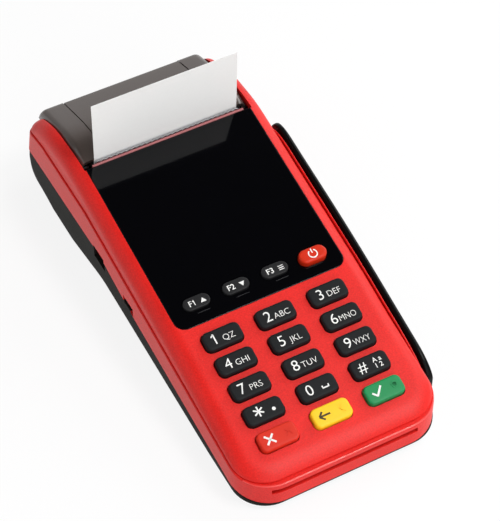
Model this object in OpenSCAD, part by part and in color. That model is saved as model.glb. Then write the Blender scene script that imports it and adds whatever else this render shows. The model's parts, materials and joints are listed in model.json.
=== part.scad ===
// Hand-held payment terminal: red case, black base, lens, keypad, swipe rail and receipt printer.
// Millimetres. X runs to the right, Y from the front face to the rear, Z up from the table.

/* [Case] */
// Wall of the case shells
wall = 2; // [1.7:0.1:2.3]
// Radius of the long top edges
edge_r = 5; // [4:0.5:6]
// Radius of the front corners, seen from above
front_r = 16; // [14:0.5:17]
// Cheeks beside the printer cover
cheek_w = 4.5; // [4:0.1:5]
// Lean of the rear wall from upright
rear_lean = 15.4; // [13:0.2:18]
// How far the top case is set in from the middle case
step_in = 0.6; // [0.3:0.1:0.9]
// Card slot up to the groove between top and middle case
slot_lip = 2.2; // [1.8:0.1:2.6]
// Hinge pin down to the groove beside the printer
groove_drop = 1.12; // [1:0.02:1.5]

/* [Face] */
// Front face to the first row of keys
keypad_margin = 10.54; // [9.5:0.02:12]
// Slope of the keypad
keypad_tilt = 14; // [13.5:0.25:14.5]
// Slope of the lens
lens_tilt = 10.5; // [10:0.25:11]
// Red frame beside the lens
bezel = 5.4; // [4.9:0.1:6]
// Lens length along its slope
lens_len = 74.8; // [67:0.2:82]
// Lens thickness
lens_t = 1.6; // [1.2:0.1:1.8]

/* [Keys] */
// Distance between key columns
key_pitch_x = 20.4; // [19.6:0.1:21]
// Distance between key rows along the slope
key_pitch_y = 10.04; // [9.8:0.02:10.2]
// Key width
key_w = 14.2; // [13:0.1:15]
// Key height along the slope
key_h = 7.2; // [6.6:0.1:7.6]
// How far a key stands above the face
key_proud = 2; // [1.4:0.1:2.4]
// Key travel
key_travel = 0.8; // [0.5:0.05:0.9]
// Distance between function keys
fkey_pitch = 15.2; // [14.4:0.1:15.6]
// Function key width
fkey_w = 10.1; // [9:0.1:10.6]
// Function key height
fkey_h = 4.9; // [4.4:0.1:5.4]
// Function key travel
fkey_travel = 0.5; // [0.3:0.05:0.6]

/* [Swipe rail] */
// Outer face of the rail beyond the middle case
rail_out = 4; // [3.6:0.1:5]
// Width of the swipe slot
swipe_gap = 1.7; // [1.4:0.05:1.9]
// Depth of the swipe slot
swipe_depth = 9; // [8:0.25:9.75]
// Rail top below the face
rail_drop = 5.6; // [5:0.1:6.4]

/* [Printer] */
// Paper width
paper_w = 57; // [50:0.5:64]
// Paper roll radius
roll_r = 15; // [13.5:0.5:16.5]
// Roll core radius
core_r = 6.25; // [5:0.25:7]
// Platen roller radius
platen_r = 4; // [3.6:0.1:4.2]
// Length of paper standing above the exit
paper_up = 28; // [10:1:40]
// Gear module
gear_m = 0.8; // [0.72:0.01:0.88]
// Teeth on the platen gear
platen_teeth = 13; // [12:1:13]
// Teeth on the idler gear
idler_teeth = 16; // [15:1:17]
// Teeth on the motor pinion
pinion_teeth = 10; // [10:1:11]
// Gear width
gear_w = 1.3; // [1.1:0.1:1.5]

/* [Card slot] */
// Card slot width
slot_w = 55.6; // [55:0.1:56.4]
// Card slot height
slot_h = 1.6; // [1.2:0.1:1.8]
// Underside of the card slot above the table
slot_z = 9.2; // [8.8:0.1:9.4]
// Slot centre from the keypad centre line
slot_x = -1.7; // [-2.4:0.1:0]
// Depth of the card tray
tray_len = 45.5; // [41:0.5:50]

/* [Clearances] */
// Gap round a piece that moves in a hole
gap = 0.3; // [0.25:0.01:0.35]
// Radial clearance of a shaft in its bore
running = 0.05; // [0.02:0.01:0.08]
// Backlash of the gears on each flank
backlash = 0.06; // [0.04:0.01:0.08]

/* [Hidden] */

red = [0.86, 0.12, 0.11];
black = [0.10, 0.10, 0.10];
charcoal = [0.17, 0.18, 0.20];
board_green = [0.07, 0.32, 0.18];
steel = [0.72, 0.73, 0.75];
smoke = [0.30, 0.27, 0.25];
white = [0.93, 0.93, 0.92];

$fn = 48;
far = 200;
arc_step = 22.5;
hair = 0.02;
key_rows = 5;

// Across the printer, from the paper's edge to the outside of the case
bay_room = 0.4;
bay_wall = 1;
gear_side = 0.2;
gear_end = 0.4;
cover_wall = 1.4;
gear_x = paper_w / 2 + bay_room + bay_wall + gear_side;
cover_hw = gear_x + gear_w + gear_end + cover_wall;
cheek_in = cover_hw + gap;
case_hw = cheek_in + cheek_w + step_in;
in_hw = case_hw - step_in - wall;
lens_w = 2 * (case_hw - bezel);

// Card reader behind the slot, clear of the round front corners
reader_gap = 0.4;
reader_wall = 1.2;
reader_floor = 2.4;
reader_rim = 0.1;
corner_in = front_r - wall;
corner_x = in_hw - corner_in;
card_y0 = front_r - leg(corner_in, slot_w / 2 - slot_x + reader_wall - corner_x) + reader_gap;

// Keypad: the first row lies a little in front of the crease, the front row lies over the card reader
keypad_y0 = 6.18;
key_r = 2;
cap_step = 0.5;
cap_in = 0.4;
flange_t = 0.9;
flange_side = 0.8;
mat_t = 0.8;
mat_in = 4.4;
board_t = 1;
board_in = 1.4;
board_gap = 0.26;
mat_z = -wall - gap - flange_t - key_travel - gap;
key_board_z = mat_z - mat_t - board_t;
keypad_len = keypad_y0 + (key_rows - 0.5) * key_pitch_y;
keypad_end = 2;
crease_y = keypad_margin + (keypad_y0 + (key_rows - 1) * key_pitch_y + key_h / 2) * cos(keypad_tilt);
crease_z = slot_z + slot_h + reader_rim + board_gap + keypad_len * sin(keypad_tilt) - key_board_z * cos(keypad_tilt);
lip_in = 2;
boss_in = 2.2;
post_r = 1.8;
keypad_post_front = 14;
keypad_post_back = 8;
keypad_posts = [keypad_post_front - keypad_len, -keypad_post_back];

// Lens and what hangs under it
lens_y0 = 0.5;
lens_r = 4;
lens_gap = 0.1;
ledge = 2.7;
ledge_t = 1.6;
fkey_y = 9.15;
power_w = 10.6;
power_h = 5.6;
power_proud = 2.4;
fkey_proud = 0.8;
switch_w = 4;
switch_t = 1.8;
main_board_t = 1.6;
main_board_z = -lens_t - gap - flange_t - key_travel - gap - switch_t - main_board_t;
main_board_y0 = 4;
main_board_end = 9.3;
main_board_y1 = lens_y0 + lens_len - main_board_end;
main_board_side = 2.5;
main_board_hw = in_hw - main_board_side;
board_post_x = 2;
board_post_front = 6;
board_post_back = 4;
display_front = 7.85;
display_y0 = fkey_y + display_front;
display_end = 5.3;
display_y1 = lens_y0 + lens_len - display_end;
display_side = 4.2;
display_hw = lens_w / 2 - display_side;
display_t = 3.6;

// Paper exit: the rear edge of the lens
exit_y = crease_y + (lens_y0 + lens_len) * cos(lens_tilt);
exit_z = crease_z + (lens_y0 + lens_len) * sin(lens_tilt);
cheek_rise = 0.5;
// Planes on which the cheeks fall: place from the hinge, height from the exit, slope
falls = [[-18, -0.7, 8], [-9, -2.9, 22], [0.4, -7.8, 32]];

// Cover over the printer: its front part, as distance from its front edge and height from the exit
cover_front = 3.3;
cover_brow = [[0, -0.9], [5, 0.6], [10, 1.1]];
cover_skin = 1.8;
cover_min = 29;
cover_edge_r = 3;
cover_front_y = exit_y + cover_front;
cover_in = case_hw - cover_hw;

// Platen under the cover, then the idler, the motor, the paper roll and the hinge behind them
platen_back = 7.55;
gear_top = 1.235;
tooth_out = 0.8;
platen_pitch_r = gear_m * platen_teeth / 2;
idler_pitch_r = gear_m * idler_teeth / 2;
pinion_pitch_r = gear_m * pinion_teeth / 2;
platen_y = exit_y + platen_back;
platen_z = exit_z + lookup(platen_y - cover_front_y, cover_brow) - cover_skin - gear_top
  - platen_pitch_r - tooth_out * gear_m;
shaft_r = 1;
shaft_end = 0.2;
roller_end = 0.3;
bush_r = 2.4;
bush_wall = 1;
idler_y = platen_y;
idler_z = platen_z - platen_pitch_r - idler_pitch_r;
idler_phase = 90;
pinion_dir = idler_phase + 5 * 360 / idler_teeth;
pinion_y = idler_y + (idler_pitch_r + pinion_pitch_r) * cos(pinion_dir);
pinion_z = idler_z + (idler_pitch_r + pinion_pitch_r) * sin(pinion_dir);
platen_phase = 270 + 180 / platen_teeth;
pinion_phase = pinion_dir + 180 + 180 / pinion_teeth;
motor_r = 7;
motor_len = 16;
motor_shaft = 6;
motor_gap = 0.4;
plate_t = 1.1;
plate_gap = 0.4;
plate_x = gear_x - plate_gap - plate_t;
shaft_hole = 0.6;
leg_low = 2.14;
leg_z = pinion_z - shaft_r - shaft_hole - leg_low;
leg_w = 5;
plate_front = 6.5;
plate_back = 2.8;
plate_top = 6;

hinge_low = 2;
hinge_z = platen_z - hinge_low;
hinge_r = 1.25;
pin_end = 0.9;
knuckle_r = 3.2;
tail_r = 4.4;
hinge_room = 2.9;
foot_h = 0.8;
floor_z = foot_h + wall;
bay_slack = 2;
bay_r = roll_r + bay_slack;
bay_hw = paper_w / 2 + bay_room;
bay_z = floor_z + bay_wall + bay_r;
rim_low = 1.4;
bay_rim_z = leg_z - rim_low;
roll_z = bay_z - bay_slack + gap;
roll_gap = 1.02;
core_wall = 1.25;
roll_y = max(pinion_y + motor_r + roll_r + roll_gap,
  platen_y + leg(roll_r + platen_r + roll_gap, platen_z - roll_z));
hinge_y = max(roll_y + leg(roll_r + knuckle_r + hinge_room, hinge_z - roll_z), cover_front_y + cover_min);
// Fall of the cover, from the hinge's distance and the exit's height, and its turn round the hinge
cover_tail = [[-18, 0.1], [-10, -2.4]];
cover_fall = atan((cover_tail[0].y - cover_tail[1].y) / (cover_tail[1].x - cover_tail[0].x));
tail_turn = [65, -25];
cover_skirt = 1;
cover_open = 9;
window_side = 9.6;
window_hw = cover_hw - window_side;
window_t = 1;
window_gap = 0.2;
window_front = 2;
window_back = 1;
window_y0 = cover_front_y + window_front;
window_y1 = hinge_y - window_back;

paper_t = 0.2;
strip_y = platen_y - platen_r - gap - paper_t;
strip_low = 2;
strip_exit = 1.9;
strip_lean = 1.1;
head_y = strip_y;
head_t = 1;
head_len = 6;
sink_t = 4.4;
sink_len = 8.2;
sink_drop = 4.6;
sink_top = exit_z - sink_drop;
frame_t = 1.2;
frame_low = 4;
frame_high = 0.4;
frame_y = head_y - head_t - sink_t - frame_t;
bar_y = exit_y + lens_t * sin(lens_tilt) + lens_gap;
bar_t = 0.5;
tear_teeth = 28;
tear_h = 0.5;

// Whole model: centred on its own box, standing on the table
rear_z = 12.6;
tail_room = 3.55;
case_len = hinge_y + (hinge_z - rear_z) * tan(rear_lean) + tail_room;
mid_x = rail_out / 2;
mid_y = case_len / 2;

// Groove between top and middle case: level, a straight climb, level, and a short fall at the rear
groove_front_z = slot_z + slot_h + slot_lip;
groove_rear_z = hinge_z - groove_drop;
groove_y0 = 8;
groove_back = 9;
groove_y1 = exit_y - groove_back;
groove_tail = 10;
groove_fall = 0.2;
groove_y2 = hinge_y - groove_tail;

// Underside, and the line between red and black
seam_front_z = 3.1;
seam_slope = 0.1235;
seam_fall = 0.04;
seam_back = 21.04;
seam_run = 27;
seam_top_y = exit_y - seam_back;
seam_rise_y = seam_top_y - seam_run;
seam_top_z = 19.6;
belly_y = 30;
belly_tilt = 3.36;
bulge_front = 10;
bulge_y = roll_y - bulge_front;
bulge_tilt = 9.6;
belly_peak_y = (belly_y * tan(belly_tilt) + bulge_y * tan(bulge_tilt)) / (tan(belly_tilt) + tan(bulge_tilt));
bottom_r = 3;
base_in = 0.3;
// Places of the turned-up front edge and of the two turns up to the rear wall
front_turn = [2.5, 2];
rear_turn_1 = [1.6, 4.4];
rear_turn_2 = [6.2, 9.6];
// Front edge of the top face
lip_turn = [1.1, 0.85];
lip_tilt = 52;

// Swipe head in the right wall
head_w = 9;
head_h = 5;
mag_back = 16;
mag_y = crease_y + mag_back;
mag_out = 0.8;
mag_travel = 0.5;
mag_len = 5.4;
mag_lift = 1.1;
spring_t = 0.5;
spring_len = 18;
spring_h = 3;
rib_t = 2;
rib_h = 4;
spring_x = case_hw + mag_out - mag_len - mag_travel - gap;

// Rail
rail_y0 = 17;
rail_back = 3.6;
rail_y1 = exit_y - rail_back;
rail_floor = 2.2;
rail_bevel = 0.5;
// Rounding of its two ends: distance from the end and depth below the top line
rail_front_end = [[0, 6], [3, 1.5], [7, 0]];
rail_rear_end = [[10, 0], [4, 1.6], [1, 4], [0, 7]];
// Swell of its top line: share of the length, and height above the straight line
rail_swell = [[0.35, 1.2], [0.55, 1.5], [0.75, 1.2]];
rail_z0 = face_z(rail_y0) - rail_drop;
rail_slope = (face_z(rail_y1) - face_z(rail_y0)) / (rail_y1 - rail_y0);
mag_z = rail_z0 + rail_slope * (mag_y - rail_y0) - swipe_depth + head_h / 2 + mag_lift;

// Ports on the left
usb_back = 4.6;
usb_y = seam_rise_y + usb_back;
usb_w = 7.4;
usb_h = 3.6;
usb_wall = 0.5;
jack_back = 1.5;
jack_y = seam_top_y + jack_back;
jack_w = 8.4;
jack_h = 6;
jack_r = 2.2;
port_board_z = 13.4;
port_board_t = 1.2;
port_board_w = 10;
port_board_end = 8;
port_board_in = 0.6;
port_depth = 7;
port_out = 0.4;
port_gap = 0.2;
port_floor = 1;

// Fasteners and feet
screw_r = 1.25;
screw_gap = 0.25;
screw_head_r = 2.6;
screw_head_t = 1.6;
screw_head_gap = 0.2;
screw_seat = 3;
boss_r = 3.2;
boss_gap = 2;
screw_bite = 6;
front_screw_in = 7.1;
rear_screw_in = 4.8;
rear_screw_front = 9.6;
front_screw = [case_hw - front_screw_in, card_y0 + tray_len + boss_gap + boss_r];
rear_screw = [case_hw - rear_screw_in, hinge_y - rear_screw_front];
foot_r = 4.5;
foot_sink = 0.4;
foot_gap = 0.1;
foot_in = 12;
foot_x = in_hw - foot_in;
foot_front = 19;
feet = [[foot_x, foot_front], [foot_x, hinge_y - rear_screw_front]];
battery_side = 2.4;
battery_w = 2 * (in_hw - port_board_in - port_board_w - battery_side);
battery_len = 52;
battery_t = 12.6;
battery_gap = 4.16;
battery_y0 = (card_y0 + tray_len + battery_gap - belly_y) / cos(belly_tilt);
door_side = 2;
door_w = battery_w + 2 * door_side;
door_len = 46;
door_r = 3;
door_gap = 0.25;
door_front = 3;
door_y0 = battery_y0 + door_front;
speaker_r = 7;
speaker_at = [18, 22];
speaker_gap = 0.6;
cell_r = 6.2;
cell_t = 3;
cell_side = 15.5;
cell_at = [cell_side - main_board_hw, 44];
post_w = 4;
reader_post_in = 3.8;
reader_post_front = 5.2;
reader_post_back = 8.8;
port_post_front = 5;
port_post_back = 4;

// Key name, column, row and colour
KEYS = [["key_1", -1, 0, charcoal], ["key_2", 0, 0, charcoal], ["key_3", 1, 0, charcoal],
  ["key_4", -1, 1, charcoal], ["key_5", 0, 1, charcoal], ["key_6", 1, 1, charcoal],
  ["key_7", -1, 2, charcoal], ["key_8", 0, 2, charcoal], ["key_9", 1, 2, charcoal],
  ["key_star", -1, 3, charcoal], ["key_0", 0, 3, charcoal], ["key_hash", 1, 3, charcoal],
  ["key_cancel", -1, 4, [0.88, 0.22, 0.14]], ["key_clear", 0, 4, [0.97, 0.80, 0.14]],
  ["key_enter", 1, 4, [0.10, 0.56, 0.32]]];
// Function key name, place in the row, width, height, height above the lens, travel and colour
FKEYS = [["key_f1", -1.5, fkey_w, fkey_h, fkey_proud, fkey_travel, charcoal],
  ["key_f2", -0.5, fkey_w, fkey_h, fkey_proud, fkey_travel, charcoal],
  ["key_f3", 0.5, fkey_w, fkey_h, fkey_proud, fkey_travel, charcoal],
  ["key_power", 1.5, power_w, power_h, power_proud, key_travel, [0.88, 0.22, 0.12]]];

// Long leg of a right triangle from its longest side and its short leg
function leg(d, h) = sqrt(max(0, d * d - h * h));
// Height of the face at a distance from the front
function face_z(y) = crease_z + (y - crease_y) * tan(y < crease_y ? keypad_tilt : lens_tilt);
function groove_z(y) = groove_front_z + max(0, min(y, groove_y1) - groove_y0)
  * (groove_rear_z - groove_front_z) / (groove_y1 - groove_y0) - max(0, y - groove_y2) * groove_fall;
function seam_z(y) = y < seam_rise_y ? seam_front_z + seam_slope * y
  : y < seam_top_y ? seam_z(seam_rise_y - 0.001) + (y - seam_rise_y)
    * (seam_top_z - seam_front_z - seam_slope * seam_rise_y) / (seam_top_y - seam_rise_y)
  : seam_top_z - (y - seam_top_y) * seam_fall;

// Points of an arc, angles in degrees
function arc(c, r, a0, a1) = [for (i = [0 : 1 : ceil(abs(a1 - a0) / arc_step)])
  let (a = a0 + (a1 - a0) * i / ceil(abs(a1 - a0) / arc_step)) c + r * [cos(a), sin(a)]];
// Rectangle with round corners, centred
function round_rect(w, h, r) = concat(arc([w / 2 - r, h / 2 - r], r, 0, 90),
  arc([r - w / 2, h / 2 - r], r, 90, 180), arc([r - w / 2, r - h / 2], r, 180, 270),
  arc([w / 2 - r, r - h / 2], r, 270, 360));

// Half angle of an involute tooth at a radius
function involute(a) = tan(a) * 180 / PI - a;
function tooth_half(r, teeth) = let (rb = gear_m * teeth / 2 * cos(20))
  90 / teeth + involute(20) - involute(acos(min(1, rb / r))) - backlash / (gear_m * teeth / 2) * 180 / PI;
// Outline of a gear with its first tooth at an angle
function gear_points(teeth, phase) = let (rp = gear_m * teeth / 2, ra = rp + tooth_out * gear_m,
    rf = rp - 1.1 * gear_m, radii = [rf, rp * 0.96, rp, (rp + ra) / 2, ra])
  [for (i = [0 : teeth - 1]) for (s = [-1, 1]) for (k = [0 : 4])
    let (r = radii[s < 0 ? k : 4 - k], a = phase + i * 360 / teeth + s * tooth_half(max(r, rp * 0.96), teeth))
    r * [cos(a), sin(a)]];

// Working frames
module placed() translate([-mid_x, -mid_y, 0]) children();
module on_keypad() translate([0, crease_y, crease_z]) rotate([keypad_tilt, 0, 0]) children();
module on_lens() translate([0, crease_y, crease_z]) rotate([lens_tilt, 0, 0]) children();
module on_belly() translate([0, belly_y, foot_h]) rotate([belly_tilt, 0, 0]) children();
// Extrudes a side view, drawn as distance from the front and height, across a span of X
module across(x0, x1) translate([x0, 0, 0]) rotate([90, 0, 90]) linear_extrude(x1 - x0) children();
module round_plate(w, h, r, z0, z1) translate([0, 0, z0]) linear_extrude(z1 - z0) polygon(round_rect(w, h, r));
// Everything under a sloped plane whose two side edges are rounded, set in at the sides and lowered
module roof(y, z, tilt, r, side, drop) {
  hw = case_hw - side + hair;
  rr = max(r - side, 0.5);
  translate([0, y, z]) rotate([tilt, 0, 0]) translate([0, 0, -drop]) rotate([90, 0, 0])
    linear_extrude(2 * far, center = true)
      polygon(concat([[-hw - far, -far], [-hw - far, -rr]], arc([rr - hw, -rr], rr, 180, 90),
        arc([hw - rr, -rr], rr, 90, 0), [[hw + far, -rr], [hw + far, -far]]));
}
// Outer form of the case, set in at the sides, at the front and under its faces
module case_form(side, front, drop) intersection() {
  translate([side - case_hw, 0, 0]) cube([2 * (case_hw - side), far, far / 2]);
  roof(crease_y, crease_z, keypad_tilt, edge_r, side, drop);
  roof(crease_y, crease_z, lens_tilt, edge_r, side, drop);
  roof(exit_y, exit_z + cheek_rise, 0, edge_r, side, drop);
  for (f = falls) roof(hinge_y + f.x, exit_z + f.y, -f.z, edge_r, side, drop);
  roof(case_len, rear_z, rear_lean - 90, edge_r, side, drop);
  roof(front, 0, 90, front_r - front + side, side, 0);
  translate([0, front, face_z(front)]) roof(lip_turn.x, -lip_turn.y, lip_tilt, edge_r, side, drop);
}
module above_groove() across(-far, far) polygon(concat(
  [for (y = [-lip_in, groove_y0, groove_y1, groove_y2, far]) [y, groove_z(y)]], [[far, far], [-lip_in, far]]));
module below_groove() across(-far, far) polygon(concat(
  [for (y = [-lip_in, groove_y0, groove_y1, groove_y2, far]) [y, groove_z(y)]],
  [[far, -lip_in], [-lip_in, -lip_in]]));
module above_seam() across(-far, far) polygon(concat(
  [for (y = [-lip_in, seam_rise_y, seam_top_y, far]) [y, seam_z(y)]], [[far, far], [-lip_in, far]]));
module below_seam() across(-far, far) polygon(concat(
  [for (y = [-lip_in, seam_rise_y, seam_top_y, far]) [y, seam_z(y)]], [[far, -lip_in], [-lip_in, -lip_in]]));
// Underside: a flat front, a belly that rises to a peak, and the bulge of the paper bay
module base_form(inset) intersection() {
  translate([base_in + inset - case_hw, base_in + inset, 0])
    cube([2 * (case_hw - base_in - inset), far, far / 4]);
  roof(base_in + inset, 0, 90, front_r, base_in + inset, 0);
  roof(case_len, rear_z, rear_lean - 90, edge_r, inset, inset);
  roof(0, foot_h, 180, bottom_r, inset, inset);
  roof(front_turn.x, front_turn.y, 150, bottom_r + 1.1, inset, inset);
  roof(case_len - rear_turn_1.x, rear_z - rear_turn_1.y, -110, bottom_r + 0.7, inset, inset);
  roof(case_len - rear_turn_2.x, rear_z - rear_turn_2.y, -140, bottom_r + 2.1, inset, inset);
  union() {
    roof(belly_y, foot_h, 180 + belly_tilt, bottom_r - 0.4, inset, inset);
    roof(bulge_y, foot_h, 180 - bulge_tilt, bottom_r + 0.4, inset, inset);
  }
}
module key_at(col, row) on_keypad() translate([col * key_pitch_x, -keypad_y0 - row * key_pitch_y, 0]) children();
module fkey_at(place) on_lens() translate([place * fkey_pitch, fkey_y, 0]) children();
module both_sides() for (s = [0, 1]) mirror([s, 0, 0]) children();
module rod(r, x0, x1, y, z) translate([x0, y, z]) rotate([0, 90, 0]) cylinder(r = r, h = x1 - x0);

// Case shells
// Lens seen on its slope: round front corners, square at the rear, grown all round and lengthened behind
module lens_outline(grow, tail) {
  hw = lens_w / 2 + grow;
  r = max(lens_r + grow, 1);
  y0 = lens_y0 - grow;
  y1 = lens_y0 + lens_len + tail;
  polygon(concat(arc([r - hw, y0 + r], r, 180, 270), arc([hw - r, y0 + r], r, 270, 360), [[hw, y1], [-hw, y1]]));
}
module board_bosses(xs, ys, z0, z1, r) for (x = xs, y = ys) translate([x, y, z0]) cylinder(r = r, h = z1 - z0);
module top_case() color(red) difference() {
  union() {
    intersection() {
      difference() {
        case_form(step_in, lip_in, 0);
        case_form(step_in + wall, lip_in + wall, wall);
      }
      above_groove();
    }
    intersection() {
      case_form(step_in, lip_in, 0);
      above_groove();
      both_sides() translate([cheek_in, exit_y - 1, 0]) cube([far, far, far]);
    }
    intersection() {
      case_form(step_in, lip_in, 0);
      on_lens() translate([-in_hw - hair, 0, -lens_t - ledge_t])
        cube([2 * (in_hw + hair), lens_y0 + lens_len, ledge_t]);
    }
    on_keypad() board_bosses([boss_in - in_hw, in_hw - boss_in], keypad_posts,
      mat_z - mat_t, -wall + hair, post_r);
    on_lens() board_bosses([board_post_x - main_board_hw, main_board_hw - board_post_x],
      [main_board_y0 + board_post_front, main_board_y1 - board_post_back],
      main_board_z + main_board_t, -lens_t - ledge_t + hair, post_r);
  }
  on_lens() translate([0, 0, -lens_t]) linear_extrude(far) lens_outline(lens_gap, 1);
  on_lens() translate([0, 0, -far / 4]) linear_extrude(far) lens_outline(-ledge, -ledge);
  for (k = FKEYS) fkey_at(k[1]) round_plate(k[2] + 2 * (flange_side + gap), k[3] + 2 * (flange_side + gap),
    k[3] / 2 + flange_side, -lens_t - ledge_t - gap, gap - lens_t);
  translate([-cheek_in, exit_y + gap, 0]) cube([2 * cheek_in, far, far]);
  for (k = KEYS) key_at(k[1], k[2])
    round_plate(key_w + 2 * gap, key_h + 2 * gap, key_r + gap, -2 * wall, far / 4);
  rod(hinge_r, -cheek_in - pin_end - gap, cheek_in + pin_end + gap, hinge_y, hinge_z);
}
module middle_case() color(red) difference() {
  union() {
    intersection() {
      difference() {
        case_form(0, 0, 0);
        case_form(step_in + wall, wall, wall);
      }
      above_seam();
      below_groove();
    }
    intersection() {
      case_form(base_in + gap, base_in + gap, 0);
      above_seam();
      both_sides() for (p = [front_screw, rear_screw]) translate([p.x - boss_r, p.y - boss_r, 0])
        cube([2 * boss_r + post_w, 2 * boss_r, seam_z(p.y) + screw_bite]);
    }
    for (y = [mag_y - spring_len / 2, mag_y + spring_len / 2 - rib_t])
      translate([spring_x, y, mag_z - rib_h / 2]) cube([in_hw + hair - spring_x, rib_t, rib_h]);
  }
  translate([slot_x - slot_w / 2, -1, slot_z]) cube([slot_w, wall + 3, slot_h]);
  translate([-cheek_in, roll_y, hinge_z - tail_r - gap]) cube([2 * cheek_in, far, far]);
  both_sides() for (p = [front_screw, rear_screw]) translate([p.x, p.y, 0])
    cylinder(r = screw_r, h = seam_z(p.y) + screw_bite - 1);
  translate([case_hw - 2 * wall, mag_y - head_w / 2 - gap, mag_z - head_h / 2 - gap])
    cube([2 * wall + 1, head_w + 2 * gap, head_h + 2 * gap]);
  port_cuts();
}
module port_cuts() for (p = [[usb_y, usb_w, usb_h], [jack_y, jack_w, jack_h]])
  translate([-case_hw - 1, p[0] - p[1] / 2 - port_gap, port_board_z + port_board_t])
    cube([wall + step_in + port_out + 3, p[1] + 2 * port_gap, p[2] + 2 * port_gap]);
module base_shell() color(black) difference() {
  intersection() {
    union() {
      difference() {
        base_form(0);
        base_form(wall);
      }
      intersection() {
        base_form(wall / 2);
        union() {
          both_sides() for (p = [front_screw, rear_screw]) translate([p.x, p.y, 0])
            cylinder(r = boss_r, h = far / 4);
          for (s = [-1, 1], y = [card_y0 + reader_post_front, card_y0 + tray_len - reader_post_back])
            translate([slot_x + s * (slot_w / 2 - reader_post_in) - post_w / 2, y - post_w / 2, 0])
              cube([post_w, post_w, slot_z - reader_floor]);
          for (x = [plate_x, -plate_x - plate_t]) translate([x, frame_y - 1, 0])
            cube([plate_t, leg_w, leg_z]);
          for (y = [usb_y - port_post_front, jack_y + port_post_back])
            translate([post_w / 2 - in_hw, y - post_w / 2, 0]) cube([post_w, post_w, port_board_z]);
        }
      }
    }
    below_seam();
  }
  both_sides() for (p = [front_screw, rear_screw]) translate([p.x, p.y, -1]) {
    cylinder(r = screw_r + screw_gap, h = far / 4);
    cylinder(r = screw_head_r + screw_head_gap, h = 1 + belly_height(p.y) + screw_seat);
  }
  both_sides() for (p = feet) translate([p.x, p.y, -1])
    cylinder(r = foot_r + foot_gap, h = 1 + foot_h + foot_sink);
  on_belly() translate([0, door_y0 + door_len / 2, 0])
    round_plate(door_w, door_len, door_r, -screw_seat, wall + 1);
  port_cuts();
}
// Height of the underside at a distance from the front
function belly_height(y) = foot_h + (y < belly_peak_y ? max(0, y - belly_y) * tan(belly_tilt)
  : max(0, bulge_y - y) * tan(bulge_tilt));

// Swipe rail: an outer wall and a floor that leave the slot beside the case
module swipe_rail() color(black) difference() {
  across(case_hw, case_hw + rail_out) rail_side();
  across(case_hw - 1, case_hw + swipe_gap) rail_slot();
  translate([case_hw + rail_out, rail_y0, rail_top(rail_y0) + rail_swell[1].y]) rotate([atan(rail_slope), 0, 0])
    rotate([0, -45, 0]) translate([-rail_bevel, -far, -far]) cube([far, 3 * far, 2 * far]);
}
function rail_top(y) = rail_z0 + rail_slope * (y - rail_y0);
module rail_side() polygon(concat([for (p = rail_front_end) [rail_y0 + p[0], rail_top(rail_y0 + p[0]) - p[1]]],
  [for (p = rail_swell) let (y = rail_y0 + p.x * (rail_y1 - rail_y0)) [y, rail_top(y) + p.y]],
  [for (p = rail_rear_end) [rail_y1 - p[0], rail_top(rail_y1 - p[0]) - p[1]]],
  [for (y = [rail_y1, rail_y0]) [y, rail_top(y) - swipe_depth - rail_floor]]));
module rail_slot() polygon(concat([for (y = [rail_y0 - 1, rail_y1 + 1]) [y, rail_top(y) - swipe_depth]],
  [[rail_y1 + 1, far], [rail_y0 - 1, far]]));

// Lens and display
module display_lens() color([0.02, 0.02, 0.03]) difference() {
  on_lens() translate([0, 0, -lens_t]) linear_extrude(lens_t) lens_outline(0, 0);
  for (k = FKEYS) fkey_at(k[1])
    round_plate(k[2] + 2 * gap, k[3] + 2 * gap, k[3] / 2 + gap - hair, -lens_t - 1, 5);
}
module display_module() color([0.16, 0.18, 0.20]) on_lens() translate([-display_hw, display_y0, -lens_t - display_t])
  cube([2 * display_hw, display_y1 - display_y0, display_t]);
module keypad_mat() color(charcoal) on_keypad() translate([mat_in - in_hw, -keypad_len, mat_z - mat_t])
  cube([2 * (in_hw - mat_in), keypad_len - keypad_end, mat_t]);
module key_board() color(board_green) on_keypad() translate([board_in - in_hw, -keypad_len, key_board_z])
  cube([2 * (in_hw - board_in), keypad_len - keypad_end, board_t]);
module main_board() color(board_green) on_lens() {
  translate([-main_board_hw, main_board_y0, main_board_z])
    cube([2 * main_board_hw, main_board_y1 - main_board_y0, main_board_t]);
  for (k = FKEYS)
    translate([k[1] * fkey_pitch - switch_w / 2, fkey_y - switch_w / 2, main_board_z + main_board_t - hair])
      cube([switch_w, switch_w, switch_t + hair]);
}

// Keys: a cap in the hole and a flange that the case keeps from coming out
module cap(w, h, r, proud, z_top) {
  round_plate(w, h, r, z_top - gap - hair, proud - cap_step);
  round_plate(w - 2 * cap_in, h - 2 * cap_in, r - cap_in, proud - cap_step - hair, proud);
  round_plate(w + 2 * flange_side, h + 2 * flange_side, r + flange_side, z_top - gap - flange_t, z_top - gap);
}
module pad_key(k) color(k[3]) key_at(k[1], k[2]) cap(key_w, key_h, key_r, key_proud, -wall);
module lens_key(k) color(k[6]) fkey_at(k[1]) cap(k[2], k[3], k[3] / 2 - hair, k[4], -lens_t);

// Card reader
module card_reader() color(black) difference() {
  translate([slot_x - slot_w / 2 - reader_wall, card_y0, slot_z - reader_floor])
    cube([slot_w + 2 * reader_wall, tray_len, reader_floor + slot_h + reader_rim]);
  translate([slot_x - slot_w / 2, 0, slot_z]) cube([slot_w, tray_len, far]);
}
module card_contacts() color([0.85, 0.68, 0.30]) for (i = [0 : 3], j = [0, 1])
  translate([slot_x - 5 + i * 2.54, tray_len - 22 + j * 8, slot_z]) cube([0.9, 5, 0.4]);
module mag_head() color(steel) translate([case_hw + mag_out - mag_len, mag_y - head_w / 2, mag_z - head_h / 2])
  cube([mag_len, head_w, head_h]);
module mag_spring() color(steel) translate([spring_x - spring_t, mag_y - spring_len / 2, mag_z - spring_h / 2])
  cube([spring_t, spring_len, spring_h]);

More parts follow.
